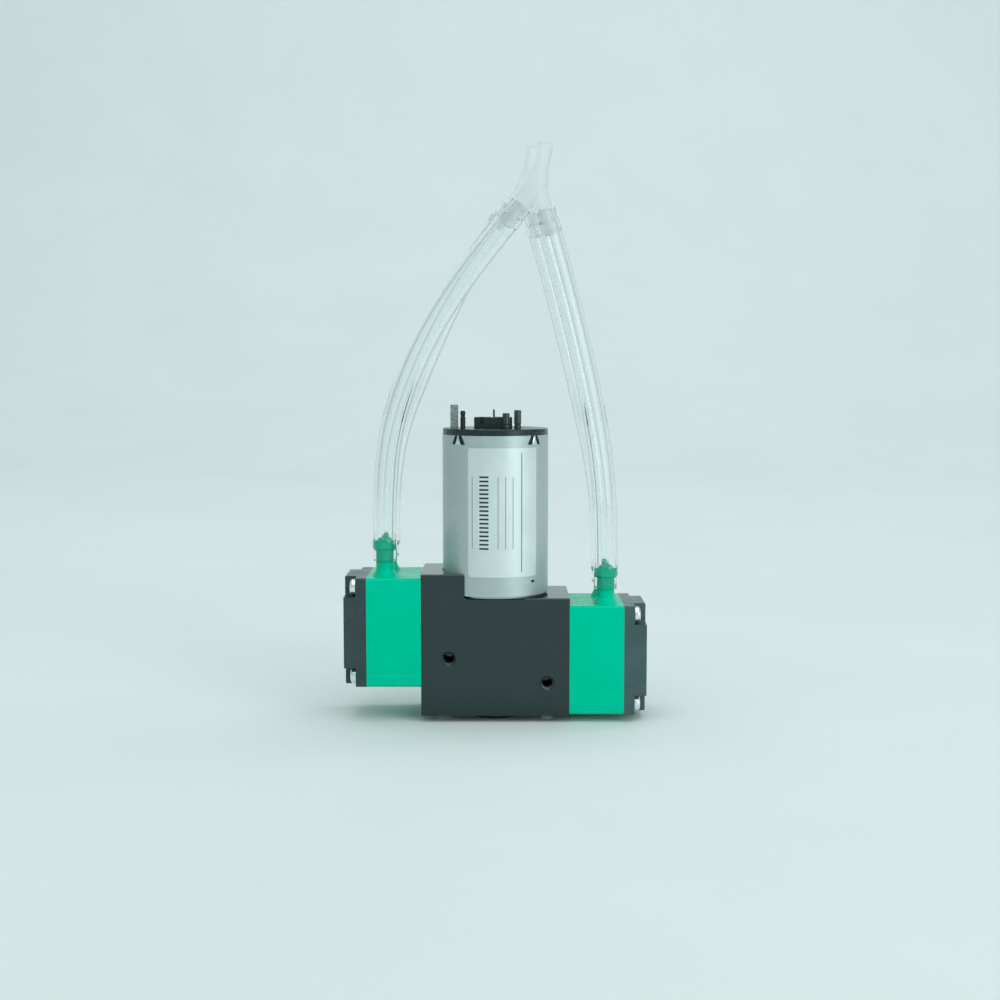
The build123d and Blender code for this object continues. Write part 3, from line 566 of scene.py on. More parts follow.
@dataclass
class Studio:
    """A pale table that curves up into a backdrop, and soft lights."""

    half_width: float = 3.0
    front: float = -2.0
    bend_start: float = 1.2
    bend_radius: float = 0.8
    bend_steps: int = 24
    edge_margin: float = 0.001
    height: float = 2.6
    light_bounces: int = 24
    ambient: Colour = (0.83, 1.0, 1.0)
    ambient_left: float = 0.5
    ambient_right: float = 0.66
    lamps: tuple[Lamp, ...] = (
        Lamp("key_softbox", place=(0.76, -0.8, 0.42), aim=(0, 0, 0.07), size=(0.55, 0.85), power=1.5,
             spread=120.0),
        Lamp("backdrop_light", place=(0.35, 0.55, 1.9), aim=(0.2, 2.0, 0.5), size=(2.4, 0.4), power=11.5),
        Lamp("top_softbox", place=(0.0, -0.5, 1.3), aim=(0, -0.1, 0), size=(1.2, 1.2), power=4.0),
    )

    def spread_out(self, p: Vector) -> Vector:
        """Gives a point of the two-unit sheet its place on the table.

        Args:
            p: The point on the sheet.

        Returns:
            Its place.
        """
        return Vector((p.x * self.half_width, self.front if p.y < 0 else self.bend_start, 0))

    def table(self) -> None:
        """Makes the table and backdrop as one bent sheet."""
        with bench("table_sweep") as work:
            bpy.ops.mesh.primitive_plane_add(size=2, location=(0, 0, 0))
            sheet = work.take()
            work.move_points(self.spread_out)
            edge = self.bend_start
            work.edit()
            work.select_points(lambda p: p.y > edge - self.edge_margin)
            bpy.ops.mesh.spin(steps=self.bend_steps, angle=math.pi / 2, center=(0, edge, self.bend_radius),
                              axis=(-1, 0, 0))
            work.leave()
            if max(v.co.z for v in sheet.data.vertices) < self.bend_radius / 2:
                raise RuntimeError("the backdrop bent downwards")
            work.edit()
            top = self.bend_radius - self.edge_margin
            work.select_points(lambda p: p.z > top)
            bpy.ops.mesh.extrude_region_move(TRANSFORM_OT_translate={"value": (0, 0, self.height)})
            work.leave()
            work.smooth(angle=60)
        sheet.data.materials.append(TABLE.material())

    def air(self) -> None:
        """Makes the even light all round, a little brighter on the right."""
        world = bpy.data.worlds.new("studio_air")
        world.use_nodes = True
        nodes, links = world.node_tree.nodes, world.node_tree.links
        sky = nodes["Background"]
        sky.inputs["Color"].default_value = (*self.ambient, 1.0)
        direction = nodes.new("ShaderNodeTexCoord")
        parts = nodes.new("ShaderNodeSeparateXYZ")
        blend = nodes.new("ShaderNodeMapRange")
        blend.inputs["From Min"].default_value = -1.0
        blend.inputs["From Max"].default_value = 1.0
        blend.inputs["To Min"].default_value = self.ambient_left
        blend.inputs["To Max"].default_value = self.ambient_right
        links.new(direction.outputs["Generated"], parts.inputs["Vector"])
        links.new(parts.outputs["X"], blend.inputs["Value"])
        links.new(blend.outputs["Result"], sky.inputs["Strength"])
        bpy.context.scene.world = world

    def build(self) -> None:
        """Makes the air, the table and the lamps, and lets light pass through the hoses' many walls."""
        bpy.context.scene.view_settings.view_transform = "Standard"
        paths = bpy.context.scene.cycles
        paths.max_bounces = self.light_bounces
        paths.glossy_bounces = self.light_bounces
        paths.transmission_bounces = self.light_bounces
        self.air()
        self.table()
        for lamp in self.lamps:
            lamp.build()


# Modelling bench

class Bench:
    """Edit-mode help: takes the new primitive and selects its parts in code."""

    def __init__(self, name: str) -> None:
        """Keeps the name that the piece will have.

        Args:
            name: That name.
        """
        self.name = name
        self.piece: bpy.types.Object | None = None

    def take(self) -> bpy.types.Object:
        """Takes the primitive just added as the piece in work.

        Returns:
            The piece.
        """
        self.piece = bpy.context.active_object
        self.piece.name = self.name
        self.piece.data.name = self.name
        bpy.ops.object.transform_apply(location=True, rotation=True, scale=True)
        return self.piece

    def move_points(self, rule: Callable[[Vector], Vector]) -> None:
        """Gives each point a new place, in object mode.

        Args:
            rule: Gives the new place for the old one.
        """
        for vertex in self.piece.data.vertices:
            vertex.co = rule(vertex.co)

    def select_points(self, rule: Callable[[Vector], bool]) -> None:
        """Selects the points for which the rule holds, in edit mode.

        Args:
            rule: Says for a place whether its point is taken.
        """
        bpy.ops.mesh.select_mode(type="VERT")
        mesh = bmesh.from_edit_mesh(self.piece.data)
        for face in mesh.faces:
            face.select = False
        for edge in mesh.edges:
            edge.select = False
        for vertex in mesh.verts:
            vertex.select = rule(vertex.co)
        mesh.select_flush(True)
        bmesh.update_edit_mesh(self.piece.data)

    def select_faces(self, rule: Callable[[Vector, Vector], bool]) -> None:
        """Selects the faces for which the rule holds, in edit mode.

        Args:
            rule: Says for a middle and a normal whether the face is taken.
        """
        bpy.ops.mesh.select_mode(type="FACE")
        mesh = bmesh.from_edit_mesh(self.piece.data)
        mesh.normal_update()
        for face in mesh.faces:
            face.select_set(False)
        for face in mesh.faces:
            if rule(face.calc_center_median(), face.normal):
                face.select_set(True)
        bmesh.update_edit_mesh(self.piece.data)

    def select_edges(self, rule: Callable[[Vector, Vector], bool]) -> None:
        """Selects the edges for which the rule holds, in edit mode.

        Args:
            rule: Says for the two ends whether the edge is taken.
        """
        bpy.ops.mesh.select_mode(type="EDGE")
        mesh = bmesh.from_edit_mesh(self.piece.data)
        for edge in mesh.edges:
            edge.select_set(False)
        for edge in mesh.edges:
            if rule(edge.verts[0].co, edge.verts[1].co):
                edge.select_set(True)
        bmesh.update_edit_mesh(self.piece.data)

    def edit(self) -> None:
        """Goes into edit mode on the piece."""
        self.pick()
        bpy.ops.object.mode_set(mode="EDIT")

    def leave(self) -> None:
        """Goes back to object mode."""
        bpy.ops.object.mode_set(mode="OBJECT")

    def pick(self) -> None:
        """Selects the piece alone and makes it the active one."""
        bpy.ops.object.select_all(action="DESELECT")
        self.piece.select_set(True)
        bpy.context.view_layer.objects.active = self.piece

    def block(self, low: Point, high: Point) -> bpy.types.Object:
        """Starts the piece as a block between two corners.

        Args:
            low: The lowest corner.
            high: The highest corner.

        Returns:
            The block.
        """
        middle = [(a + b) / 2 for a, b in zip(low, high)]
        bpy.ops.mesh.primitive_cube_add(size=1, location=middle)
        bpy.context.active_object.scale = [b - a for a, b in zip(low, high)]
        return self.take()

    def turn(self, corners: Sequence[tuple[float, float]], segments: int) -> bpy.types.Object:
        """Starts the piece as a closed profile that is spun round the upright axis.

        Args:
            corners: The profile's corners as radius and height.
            segments: Steps of the whole turn.

        Returns:
            The turned piece, on the upright axis.
        """
        bpy.ops.mesh.primitive_circle_add(vertices=len(corners), radius=1.0)
        piece = self.take()
        for vertex, (radius, height) in zip(piece.data.vertices, corners):
            vertex.co = (radius, 0, height)
        self.edit()
        bpy.ops.mesh.select_all(action="SELECT")
        bpy.ops.mesh.spin(steps=segments, angle=TAU, center=(0, 0, 0), axis=(0, 0, 1))
        bpy.ops.mesh.select_all(action="SELECT")
        bpy.ops.mesh.remove_doubles(threshold=WELD)
        bpy.ops.mesh.dissolve_degenerate(threshold=SLIVER)
        bpy.ops.mesh.delete_loose(use_verts=True, use_edges=True, use_faces=False)
        bpy.ops.mesh.select_all(action="SELECT")
        bpy.ops.mesh.normals_make_consistent(inside=False)
        self.leave()
        return piece

    def wind(self, corners: Sequence[tuple[float, float]], pitch: float, turns: int,
             steps: int) -> bpy.types.Object:
        """Starts the piece as a three-sided ridge that winds up the upright axis.

        Args:
            corners: The ridge's three corners as radius and height.
            pitch: How far one turn climbs.
            turns: How many turns it makes.
            steps: Steps of one turn.

        Returns:
            The ridge, closed at both ends.
        """
        bpy.ops.mesh.primitive_circle_add(vertices=len(corners), radius=1.0)
        ridge = self.take()
        for vertex, (radius, height) in zip(ridge.data.vertices, corners):
            vertex.co = (radius, 0, height)
        self.apply("SCREW", axis="Z", angle=TAU, screw_offset=pitch, iterations=turns, steps=steps,
                   render_steps=steps, use_merge_vertices=True, merge_threshold=WELD,
                   use_smooth_shade=False)
        self.edit()
        bpy.ops.mesh.select_all(action="SELECT")
        bpy.ops.mesh.fill_holes(sides=len(corners))
        bpy.ops.mesh.select_all(action="SELECT")
        bpy.ops.mesh.normals_make_consistent(inside=False)
        self.leave()
        return ridge

    def apply(self, kind: str, **settings: object) -> None:
        """Adds a modifier to the piece and applies it.

        Args:
            kind: The modifier's type.
            settings: Its values.
        """
        self.pick()
        modifier = self.piece.modifiers.new(kind.lower(), kind)
        for label, value in settings.items():
            setattr(modifier, label, value)
        bpy.ops.object.modifier_apply(modifier=modifier.name)

    def cut(self, cutter: bpy.types.Object) -> None:
        """Takes another piece's shape out of this one and deletes that piece.

        Args:
            cutter: The other piece.
        """
        self.apply("BOOLEAN", operation="DIFFERENCE", object=cutter, solver="EXACT")
        bpy.data.objects.remove(cutter)

    def add(self, other: bpy.types.Object) -> None:
        """Fuses another piece with this one and deletes that piece.

        Args:
            other: The other piece.
        """
        self.apply("BOOLEAN", operation="UNION", object=other, solver="EXACT")
        bpy.data.objects.remove(other)

    def smooth(self, angle: float) -> None:
        """Shades the piece smooth, apart from its sharp edges.

        Args:
            angle: The bend in degrees above which an edge stays sharp.
        """
        self.pick()
        bpy.ops.object.shade_smooth_by_angle(angle=math.radians(angle))


@contextmanager
def bench(name: str) -> Iterator[Bench]:
    """Starts a piece with nothing selected, and leaves object mode at its end.

    Args:
        name: The piece's name.

    Yields:
        The bench to work on.
    """
    if bpy.context.object and bpy.context.object.mode != "OBJECT":
        bpy.ops.object.mode_set(mode="OBJECT")
    bpy.ops.object.select_all(action="DESELECT")
    yield Bench(name)
    if bpy.context.object and bpy.context.object.mode != "OBJECT":
        bpy.ops.object.mode_set(mode="OBJECT")
    bpy.ops.object.select_all(action="DESELECT")


def placed(piece: bpy.types.Object, spot: Matrix) -> bpy.types.Object:
    """Moves a piece's own mesh to its place, so that its object stays at the origin.

    Args:
        piece: The piece, modelled about the origin.
        spot: Its place and turn.

    Returns:
        The same piece.
    """
    piece.data.transform(spot)
    piece.data.update()
    return piece


def copied(piece: bpy.types.Object, name: str, spot: Matrix) -> bpy.types.Object:
    """Copies a piece with its own mesh and puts the copy at its place.

    Args:
        piece: The piece that was modelled once.
        name: The copy's name.
        spot: The copy's place and turn.

    Returns:
        The copy.
    """
    twin = piece.copy()
    twin.data = piece.data.copy()
    twin.name = name
    twin.data.name = name
    bpy.context.collection.objects.link(twin)
    return placed(twin, spot)


def fitted(piece: bpy.types.Object, finish: Dress, slot: str, *nodes: str) -> bpy.types.Object:
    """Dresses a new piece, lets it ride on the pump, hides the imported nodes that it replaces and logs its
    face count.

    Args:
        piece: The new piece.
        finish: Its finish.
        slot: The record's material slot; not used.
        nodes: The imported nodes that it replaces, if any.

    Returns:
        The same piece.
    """
    dress(piece, finish)
    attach(piece, PUMP)
    if nodes:
        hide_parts(*nodes)
    log.info("%s: %d faces", piece.name, len(piece.data.polygons))
    return piece


def facing(direction: Point) -> Matrix:
    """The turn that points a piece's upright axis in a direction.

    Args:
        direction: Where the axis is to point.

    Returns:
        The turn.
    """
    return Vector(direction).to_track_quat("Z", "Y").to_matrix().to_4x4()


def dress(piece: bpy.types.Object, finish: Dress) -> None:
    """Puts one finish on all of a piece.

    Args:
        piece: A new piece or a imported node.
        finish: Its finish.
    """
    if piece.material_slots:
        for place in piece.material_slots:
            place.material = finish.material()
    else:
        piece.data.materials.append(finish.material())


# Hoses

RingPair = tuple[list[bmesh.types.BMVert], list[bmesh.types.BMVert]]


@dataclass
class Hose:
    """One clear hose, from its barb on a head to its arm of a Y fitting."""

    side: Side
    row: Row
    route: Sequence[Point]
    outer: float = 0.004
    inner: float = 0.0025
    port_grip: tuple[float, float] = (0.00208, 0.00273)
    fitting_grip: tuple[float, float] = (0.00225, 0.00279)
    bead_start: float = 0.004
    shoulder: float = 0.0005
    bead_end: float = 0.0069
    nose: float = 0.0004
    wall_give: float = 0.7
    seat_sink: float = 0.00008
    fineness: int = 80
    segments: int = 40
    line: list[Vector] = field(default_factory=list)

    @property
    def node(self) -> str:
        """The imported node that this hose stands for."""
        return f"{self.side.prefix}_{self.row.name.lower()}_hose"

    def read_line(self) -> list[Vector]:
        """Lays a smooth spline through the route and reads its points.

        Returns:
            Points along the hose's middle, start to end.
        """
        curve = bpy.data.curves.new(f"{self.node}_line", "CURVE")
        curve.dimensions = "3D"
        curve.resolution_u = self.fineness
        spline = curve.splines.new("NURBS")
        spline.points.add(len(self.route) - 1)
        for point, place in zip(spline.points, self.route):
            point.co = (*place, 1.0)
        spline.order_u = 3
        spline.use_endpoint_u = True
        holder = bpy.data.objects.new(f"{self.node}_line", curve)
        bpy.context.collection.objects.link(holder)
        bpy.context.view_layer.update()
        mesh = bpy.data.meshes.new_from_object(holder)
        points = [vertex.co.copy() for vertex in mesh.vertices]
        bpy.data.meshes.remove(mesh)
        bpy.data.objects.remove(holder)
        bpy.data.curves.remove(curve)
        return points

    def bore_at(self, reach: float, total: float) -> float:
        """The bore's radius, which hugs the barb's root and bead near an end.

        Args:
            reach: Length from the hose's start, at the port.
            total: The hose's whole length, up to the fitting.

        Returns:
            The radius.
        """
        end = min(reach, total - reach)
        root, bead = self.port_grip if end == reach else self.fitting_grip
        crest = self.bead_start + self.shoulder
        stops = (
            (0.0, root), (self.bead_start, root), (crest, bead),
            (self.bead_end, bead), (self.bead_end + self.nose, self.inner))
        for (near, low), (far, high) in zip(stops, stops[1:]):
            if end <= far:
                return low + (high - low) * (end - near) / (far - near)
        return self.inner

    def lengths(self) -> list[float]:
        """How far along the line each of its points is.

        Returns:
            The lengths, from zero to the whole.
        """
        reached = [0.0]
        for before, after in zip(self.line, self.line[1:]):
            reached.append(reached[-1] + (after - before).length)
        return reached

    def tangents(self) -> list[Vector]:
        """Which way the line runs at each of its points.

        Returns:
            The directions.
        """
        ways = []
        for i in range(len(self.line)):
            low = self.line[max(0, i - 1)]
            high = self.line[min(len(self.line) - 1, i + 1)]
            ways.append((high - low).normalized())
        return ways

    def rings(self, mesh: bmesh.types.BMesh) -> list[RingPair]:
        """Adds the rings of points round the line, which turn with it without a twist.

        Args:
            mesh: The mesh in work.

        Returns:
            The outer and the inner ring at each point of the line.
        """
        lengths = self.lengths()
        tangents = self.tangents()
        across = tangents[0].orthogonal().normalized()
        made = []
        for i, (point, tangent) in enumerate(zip(self.line, tangents)):
            if i:
                across = (tangents[i - 1].rotation_difference(tangent) @ across).normalized()
            third = tangent.cross(across)
            bore = self.bore_at(lengths[i], lengths[-1])
            pair = []
            if i in (0, len(self.line) - 1):
                point = point + tangent * (self.seat_sink if i else -self.seat_sink)
            for radius in (self.outer + self.wall_give * (bore - self.inner), bore):
                loop = []
                for k in range(self.segments):
                    turn = TAU * k / self.segments
                    outwards = math.cos(turn) * across + math.sin(turn) * third
                    loop.append(mesh.verts.new(point + radius * outwards))
                pair.append(loop)
            made.append((pair[0], pair[1]))
        return made

    def tube(self) -> bpy.types.Object:
        """Builds the hose's wall along its line.

        Returns:
            The hose as a closed mesh.
        """
        mesh = bmesh.new()
        rings = self.rings(mesh)
        count = self.segments
        for (outer_a, inner_a), (outer_b, inner_b) in zip(rings, rings[1:]):
            for k in range(count):
                n = (k + 1) % count
                mesh.faces.new((outer_a[k], outer_a[n], outer_b[n], outer_b[k]))
                mesh.faces.new((inner_a[n], inner_a[k], inner_b[k], inner_b[n]))
        for (outer, inner), turned in ((rings[0], True), (rings[-1], False)):
            for k in range(count):
                n = (k + 1) % count
                corners = (outer[k], outer[n], inner[n], inner[k])
                if turned:
                    corners = (outer[n], outer[k], inner[k], inner[n])
                mesh.faces.new(corners).material_index = 1
        bmesh.ops.recalc_face_normals(mesh, faces=mesh.faces)
        data = bpy.data.meshes.new(f"{self.node}_tube")
        mesh.to_mesh(data)
        mesh.free()
        hose = bpy.data.objects.new(f"{self.node}_tube", data)
        bpy.context.collection.objects.link(hose)
        for face in data.polygons:
            face.use_smooth = face.material_index == 0
        return hose

    def build(self, fitting: bpy.types.Object) -> None:
        """Args:
            fitting: The Y fitting that the hose ends on; not used.
        """
        self.line = self.read_line()
        hose = self.tube()
        dress(hose, CLEAR_HOSE)
        hose.data.materials.append(CUT_HOSE.material())
        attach(hose, PUMP)
        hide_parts(self.node)


@dataclass
class HoseSet:
    """The four hoses, two in front of the motor and two behind it."""

    left_front: Sequence[Point] = (
        (-0.0373, -0.008, 0.0539), (-0.0373, -0.008, 0.0757), (-0.0352, -0.0077, 0.0983),
        (-0.0284, -0.0071, 0.1187), (-0.0179, -0.0064, 0.1385), (-0.0041, -0.006, 0.15755),
        (0.00856, -0.006, 0.17264))
    left_rear: Sequence[Point] = (
        (-0.0373, 0.008, 0.0539), (-0.0373, 0.008, 0.0752), (-0.0343, 0.0076, 0.0966),
        (-0.0264, 0.007, 0.1168), (-0.0174, 0.0064, 0.137), (-0.00702, 0.006, 0.15764),
        (0.00538, 0.006, 0.17295))
    right_front: Sequence[Point] = (
        (0.0373, -0.008, 0.0446), (0.0373, -0.008, 0.0664), (0.0357, -0.0078, 0.0883),
        (0.0319, -0.0073, 0.11), (0.027, -0.0065, 0.1316), (0.02143, -0.006, 0.15276),
        (0.01619, -0.006, 0.17102))
    right_rear: Sequence[Point] = (
        (0.0373, 0.008, 0.0446), (0.0373, 0.008, 0.0659), (0.0346, 0.0077, 0.0872),
        (0.0298, 0.0072, 0.1084), (0.0246, 0.0064, 0.1303), (0.01858, 0.006, 0.15329),
        (0.01303, 0.006, 0.17146))

    def build(self, front_fitting: bpy.types.Object, rear_fitting: bpy.types.Object) -> None:
        """Makes all four hoses.

        Args:
            front_fitting: The Y fitting of the two front hoses.
            rear_fitting: The Y fitting of the two rear hoses.
        """
        Hose(Side.LEFT, Row.FRONT, self.left_front).build(front_fitting)
        Hose(Side.LEFT, Row.REAR, self.left_rear).build(rear_fitting)
        Hose(Side.RIGHT, Row.FRONT, self.right_front).build(front_fitting)
        Hose(Side.RIGHT, Row.REAR, self.right_rear).build(rear_fitting)


# Screws

@dataclass(frozen=True)
class PanScrew:
    """A pan-head screw with a cross recess, drawn head up with its seat at height zero.

    Shank and head are radii. A share is a part of the screw's own radius, height or pitch.
    """

    shank: float
    head: float
    height: float
    length: float
    pitch: float = 0.0005
    threaded: float = 0.008
    dome_share: float = 0.45
    dome_steps: int = 7
    crown_share: float = 0.55
    flat_share: float = 0.5
    under_share: float = 0.97
    under_rise: float = 0.06
    recess_width: float = 0.00062
    recess_reach: float = 0.0016
    recess_depth: float = 0.0012
    recess_overcut: float = 0.0002
    recess_foot: tuple[float, float] = (0.42, 0.7)
    root_share: float = 0.84
    ridge_share: float = 0.84
    ridge_sink: float = 0.00005
    ridge_steps: int = 20
    run_in: float = 1.5
    tip_chamfer: float = 0.0004
    segments: int = 48

    def profile(self) -> list[tuple[float, float]]:
        """The screw's outline as radius and height, from its tip up to the top of the dome.

        Returns:
            The outline's corners.
        """
        side = self.height * (1 - self.dome_share)
        root = self.shank * self.root_share
        corners = [
            (0.0, -self.length), (root - self.tip_chamfer, -self.length),
            (root, self.tip_chamfer - self.length), (root, self.threaded - self.length),
            (self.shank, self.threaded - self.length + self.tip_chamfer), (self.shank, 0.0),
            (self.head * self.under_share, 0.0), (self.head, self.height * self.under_rise),
            (self.head, side)]
        for step in range(1, self.dome_steps):
            turn = math.pi / 2 * step / self.dome_steps
            across = self.crown_share + (1 - self.crown_share) * math.cos(turn)
            corners.append((self.head * across, side + (self.height - side) * math.sin(turn)))
        return corners + [(self.head * self.flat_share, self.height), (0.0, self.height)]

    def recess_arm(self, turn: float) -> bpy.types.Object:
        """One tapered bar of the cross that is cut into the head.

        Args:
            turn: The bar's turn about the screw, in degrees.

        Returns:
            The bar.
        """
        middle = self.height - self.recess_depth / 2
        narrow, thin = self.recess_foot

        def taper(p: Vector) -> Vector:
            """Draws the bar's foot in, in width and in length."""
            return Vector((p.x * narrow, p.y * thin, p.z)) if p.z < middle else p

        with bench("recess_bar") as work:
            low = (-self.recess_reach, -self.recess_width / 2, self.height - self.recess_depth)
            high = (self.recess_reach, self.recess_width / 2, self.height + self.recess_overcut)
            bar = work.block(low, high)
            work.move_points(taper)
        return placed(bar, Matrix.Rotation(math.radians(turn), 4, "Z"))

    def thread(self) -> bpy.types.Object:
        """The raised thread on the end of the shank.

        Returns:
            The thread.
        """
        root = self.shank * self.root_share - self.ridge_sink
        start = self.tip_chamfer * self.run_in - self.length
        foot = self.pitch * self.ridge_share
        corners = ((root, start), (self.shank, start + foot / 2), (root, start + foot))
        turns = int((self.threaded - 2 * self.run_in * self.tip_chamfer) / self.pitch)
        with bench("thread_ridge") as work:
            work.wind(corners, self.pitch, turns, self.ridge_steps)
        return work.piece

    def model(self, name: str) -> bpy.types.Object:
        """Models the screw once.

        Args:
            name: The model's name.

        Returns:
            The screw about the origin.
        """
        bars = [self.recess_arm(turn) for turn in (0, 90)]
        ridge = self.thread()
        with bench(name) as work:
            screw = work.turn(self.profile(), self.segments)
            for bar in bars:
                work.cut(bar)
            work.pick()
            ridge.select_set(True)
            bpy.ops.object.join()
            work.smooth(angle=32)
        return screw


@dataclass
class Screws:
    """All the screws that can be seen: the heads' long ones and those under the bottom cover."""

    head_screw: PanScrew = PanScrew(shank=0.0015, head=0.00275, height=0.002, length=0.030)
    cover_screw: PanScrew = PanScrew(
        shank=0.00125, head=0.0024, height=0.0022, length=0.008, pitch=0.00045, threaded=0.0055,
        recess_reach=0.0014)
    turns: tuple[float, ...] = (12.0, 71.0, 38.0, 5.0)

    def build(self) -> None:
        """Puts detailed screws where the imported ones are."""
        model = self.head_screw.model("head_screw_model")
        for side in Side:
            self.head_set(model, side)
        bpy.data.objects.remove(model)
        model = self.cover_screw.model("cover_screw_model")
        self.cover_set(model)
        bpy.data.objects.remove(model)

    def head_set(self, model: bpy.types.Object, side: Side) -> None:
        """Puts the four long screws of one head.

        Args:
            model: The screw that was modelled once.
            side: The head's side.
        """
        node = f"{side.prefix}_head_screws"
        low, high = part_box(node)
        inset = self.head_screw.head
        seat = (high[0] if side is Side.RIGHT else low[0]) - side.value * self.head_screw.height
        across = (low[1] + inset, high[1] - inset)
        spots = [(y, z) for z in (high[2] - inset, low[2] + inset) for y in across]
        for number, ((y, z), turn) in enumerate(zip(spots, self.turns), 1):
            spin = Matrix.Rotation(math.radians(turn), 4, "Z")
            spot = Matrix.Translation((seat, y, z)) @ facing((side.value, 0, 0)) @ spin
            screw = copied(model, f"{side.prefix}_head_screw_{number}", spot)
            fitted(screw, SCREW_STEEL, "screw_steel", node)

    def cover_set(self, model: bpy.types.Object) -> None:
        """Puts the four screws under the bottom cover, heads down.

        Args:
            model: The screw that was modelled once.
        """
        node = "bottom_cover_screws"
        low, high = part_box(node)
        inset = self.cover_screw.head
        seat = low[2] + self.cover_screw.height
        across = (low[1] + inset, high[1] - inset)
        spots = [(x, y) for x in (low[0] + inset, high[0] - inset) for y in across]
        for number, ((x, y), turn) in enumerate(zip(spots, self.turns), 1):
            spin = Matrix.Rotation(math.radians(turn), 4, "Z")
            spot = Matrix.Translation((x, y, seat)) @ facing((0, 0, -1)) @ spin
            screw = copied(model, f"cover_screw_{number}", spot)
            fitted(screw, SCREW_STEEL, "screw_steel", node)


# Motor trim

@dataclass
class CanTrim:
    """What is on the motor can: the label, the crimped tongues with painted shade round them in their slots,
    and a punch mark with a painted shade disc.

    Angles are in degrees from the front of the can, plus to the right. A profile's corners are
    shares of the punch mark's radius.
    """

    label_start: float = -30.0
    label_end: float = 49.0
    label_below_rim: float = 0.0040
    label_above_foot: float = 0.0068
    label_corner: float = 0.0009
    corner_steps: int = 6
    paper_gap: float = 0.0000175
    paper: float = 0.00007
    columns: int = 44
    tongue_angles: tuple[float, ...] = (-43.5, 46.5, 136.5, 226.5)
    tongue_height: float = 0.0029
    tongue_foot: float = 4.1
    tongue_tip: float = 0.7
    tongue_rise: float = 0.00022
    tongue_thickness: float = 0.0003
    tongue_lift: float = 0.00004
    rim_gap: float = 0.0001
    wedge_cuts: int = 9
    # Painted shade: a dark sheet round each tongue, wider than its punched slot, stands for the shadow in
    # the slot.
    slot_shade_foot: float = 7.2
    slot_shade_tip: float = 2.6
    slot_shade_thickness: float = 0.00004
    bar_angle: float = -12.0
    bar_reach: float = 0.0031
    bar_height: float = 0.0006
    bar_pitch: float = 0.0014
    bar_count: int = 18
    rule_angles: tuple[float, ...] = (-25.0, 3.0, 11.0, 19.0)
    rule_width: float = 0.00016
    long_rule_angle: float = 29.0
    long_rule_width: float = 0.00026
    rule_margin: float = 0.0095
    long_rule_margin: float = 0.0016
    print_cells: int = 6
    ink: float = 0.00001
    punch_angle: float = 44.0
    punch_above_foot: float = 0.0050
    punch_radius: float = 0.0006
    punch_stretch: float = 1.7
    punch_sink: float = 0.00004
    punch_segments: int = 32
    ring_profile: tuple[tuple[float, float], ...] = (
        (0.75, 0.0), (1.0, 0.0), (0.95, 0.16), (0.86, 0.2), (0.78, 0.1))
    # The dark disc is painted shade that stands for the shadow inside the dimple.
    shade_disc_profile: tuple[tuple[float, float], ...] = (
        (0.0, 0.0), (0.8, 0.0), (0.78, 0.12), (0.4, 0.1), (0.0, 0.09))

    def __post_init__(self) -> None:
        """Reads the can's size and place from the frame."""
        self.low, self.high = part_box("motor_can")
        self.radius = (self.high[0] - self.low[0]) / 2
        self.middle = ((self.low[0] + self.high[0]) / 2, (self.low[1] + self.high[1]) / 2)

    def on_can(self, angle: float, height: float, lift: float) -> Vector:
        """A place on the can.

        Args:
            angle: Radians from the front, plus to the right.
            height: Height above the floor.
            lift: How far the place stands off the can.

        Returns:
            The place.
        """
        reach = self.radius + lift
        x = self.middle[0] + reach * math.sin(angle)
        y = self.middle[1] - reach * math.cos(angle)
        return Vector((x, y, height))

    def label(self) -> bpy.types.Object:
        """The label's paper: a sheet with round corners, wrapped round the can.

        Returns:
            The sheet.
        """
        start, end = math.radians(self.label_start), math.radians(self.label_end)
        bottom = self.low[2] + self.label_above_foot
        top = self.high[2] - self.label_below_rim
        half_width = self.radius * (end - start) / 2
        with bench("motor_label") as work:
            bpy.ops.mesh.primitive_plane_add(size=2)
            work.take()
            work.move_points(lambda p: Vector((p.x * half_width, p.y * (top - bottom) / 2, 0)))
            work.edit()
            work.select_points(lambda p: True)
            bpy.ops.mesh.bevel(affect="VERTICES", offset=self.label_corner, segments=self.corner_steps)
            for k in range(1, self.columns):
                bpy.ops.mesh.select_all(action="SELECT")
                across = half_width * (2 * k / self.columns - 1)
                bpy.ops.mesh.bisect(plane_co=(across, 0, 0), plane_no=(1, 0, 0))
            work.leave()
            centre = (start + end) / 2
            level = (bottom + top) / 2
            work.move_points(lambda p: self.on_can(centre + p.x / self.radius, level + p.y, self.paper_gap))
            work.apply("SOLIDIFY", thickness=self.paper, offset=1.0)
            work.smooth(angle=30)
        return work.piece

    def strip(self, name: str, angle: float, width: float, height: float,
              count: int = 1) -> bpy.types.Object:
        """An upright row of printed patches on the label, or one patch.

        Args:
            name: The piece's name.
            angle: Its place round the can, in degrees.
            width: Its width along the can's curve.
            height: The height of one patch.
            count: How many patches stand one above the other.

        Returns:
            The printed strip.
        """
        level = (self.low[2] + self.label_above_foot + self.high[2] - self.label_below_rim) / 2
        level -= self.bar_pitch * (count - 1) / 2
        with bench(name) as work:
            bpy.ops.mesh.primitive_plane_add(size=2)
            work.take()
            work.move_points(lambda p: Vector((p.x * width / 2, p.y * height / 2, 0)))
            work.edit()
            for k in range(1, self.print_cells):
                bpy.ops.mesh.select_all(action="SELECT")
                across = width * (k / self.print_cells - 0.5)
                bpy.ops.mesh.bisect(plane_co=(across, 0, 0), plane_no=(1, 0, 0))
            work.leave()
            if count > 1:
                work.apply("ARRAY", count=count, use_relative_offset=False, use_constant_offset=True,
                           constant_offset_displace=(0, self.bar_pitch, 0))
            lift = self.paper_gap + self.paper + self.ink
            centre = math.radians(angle)
            work.move_points(lambda p: self.on_can(centre + p.x / self.radius, level + p.y, lift))
            work.apply("SOLIDIFY", thickness=self.ink, offset=1.0)
            work.smooth(angle=30)
        return work.piece

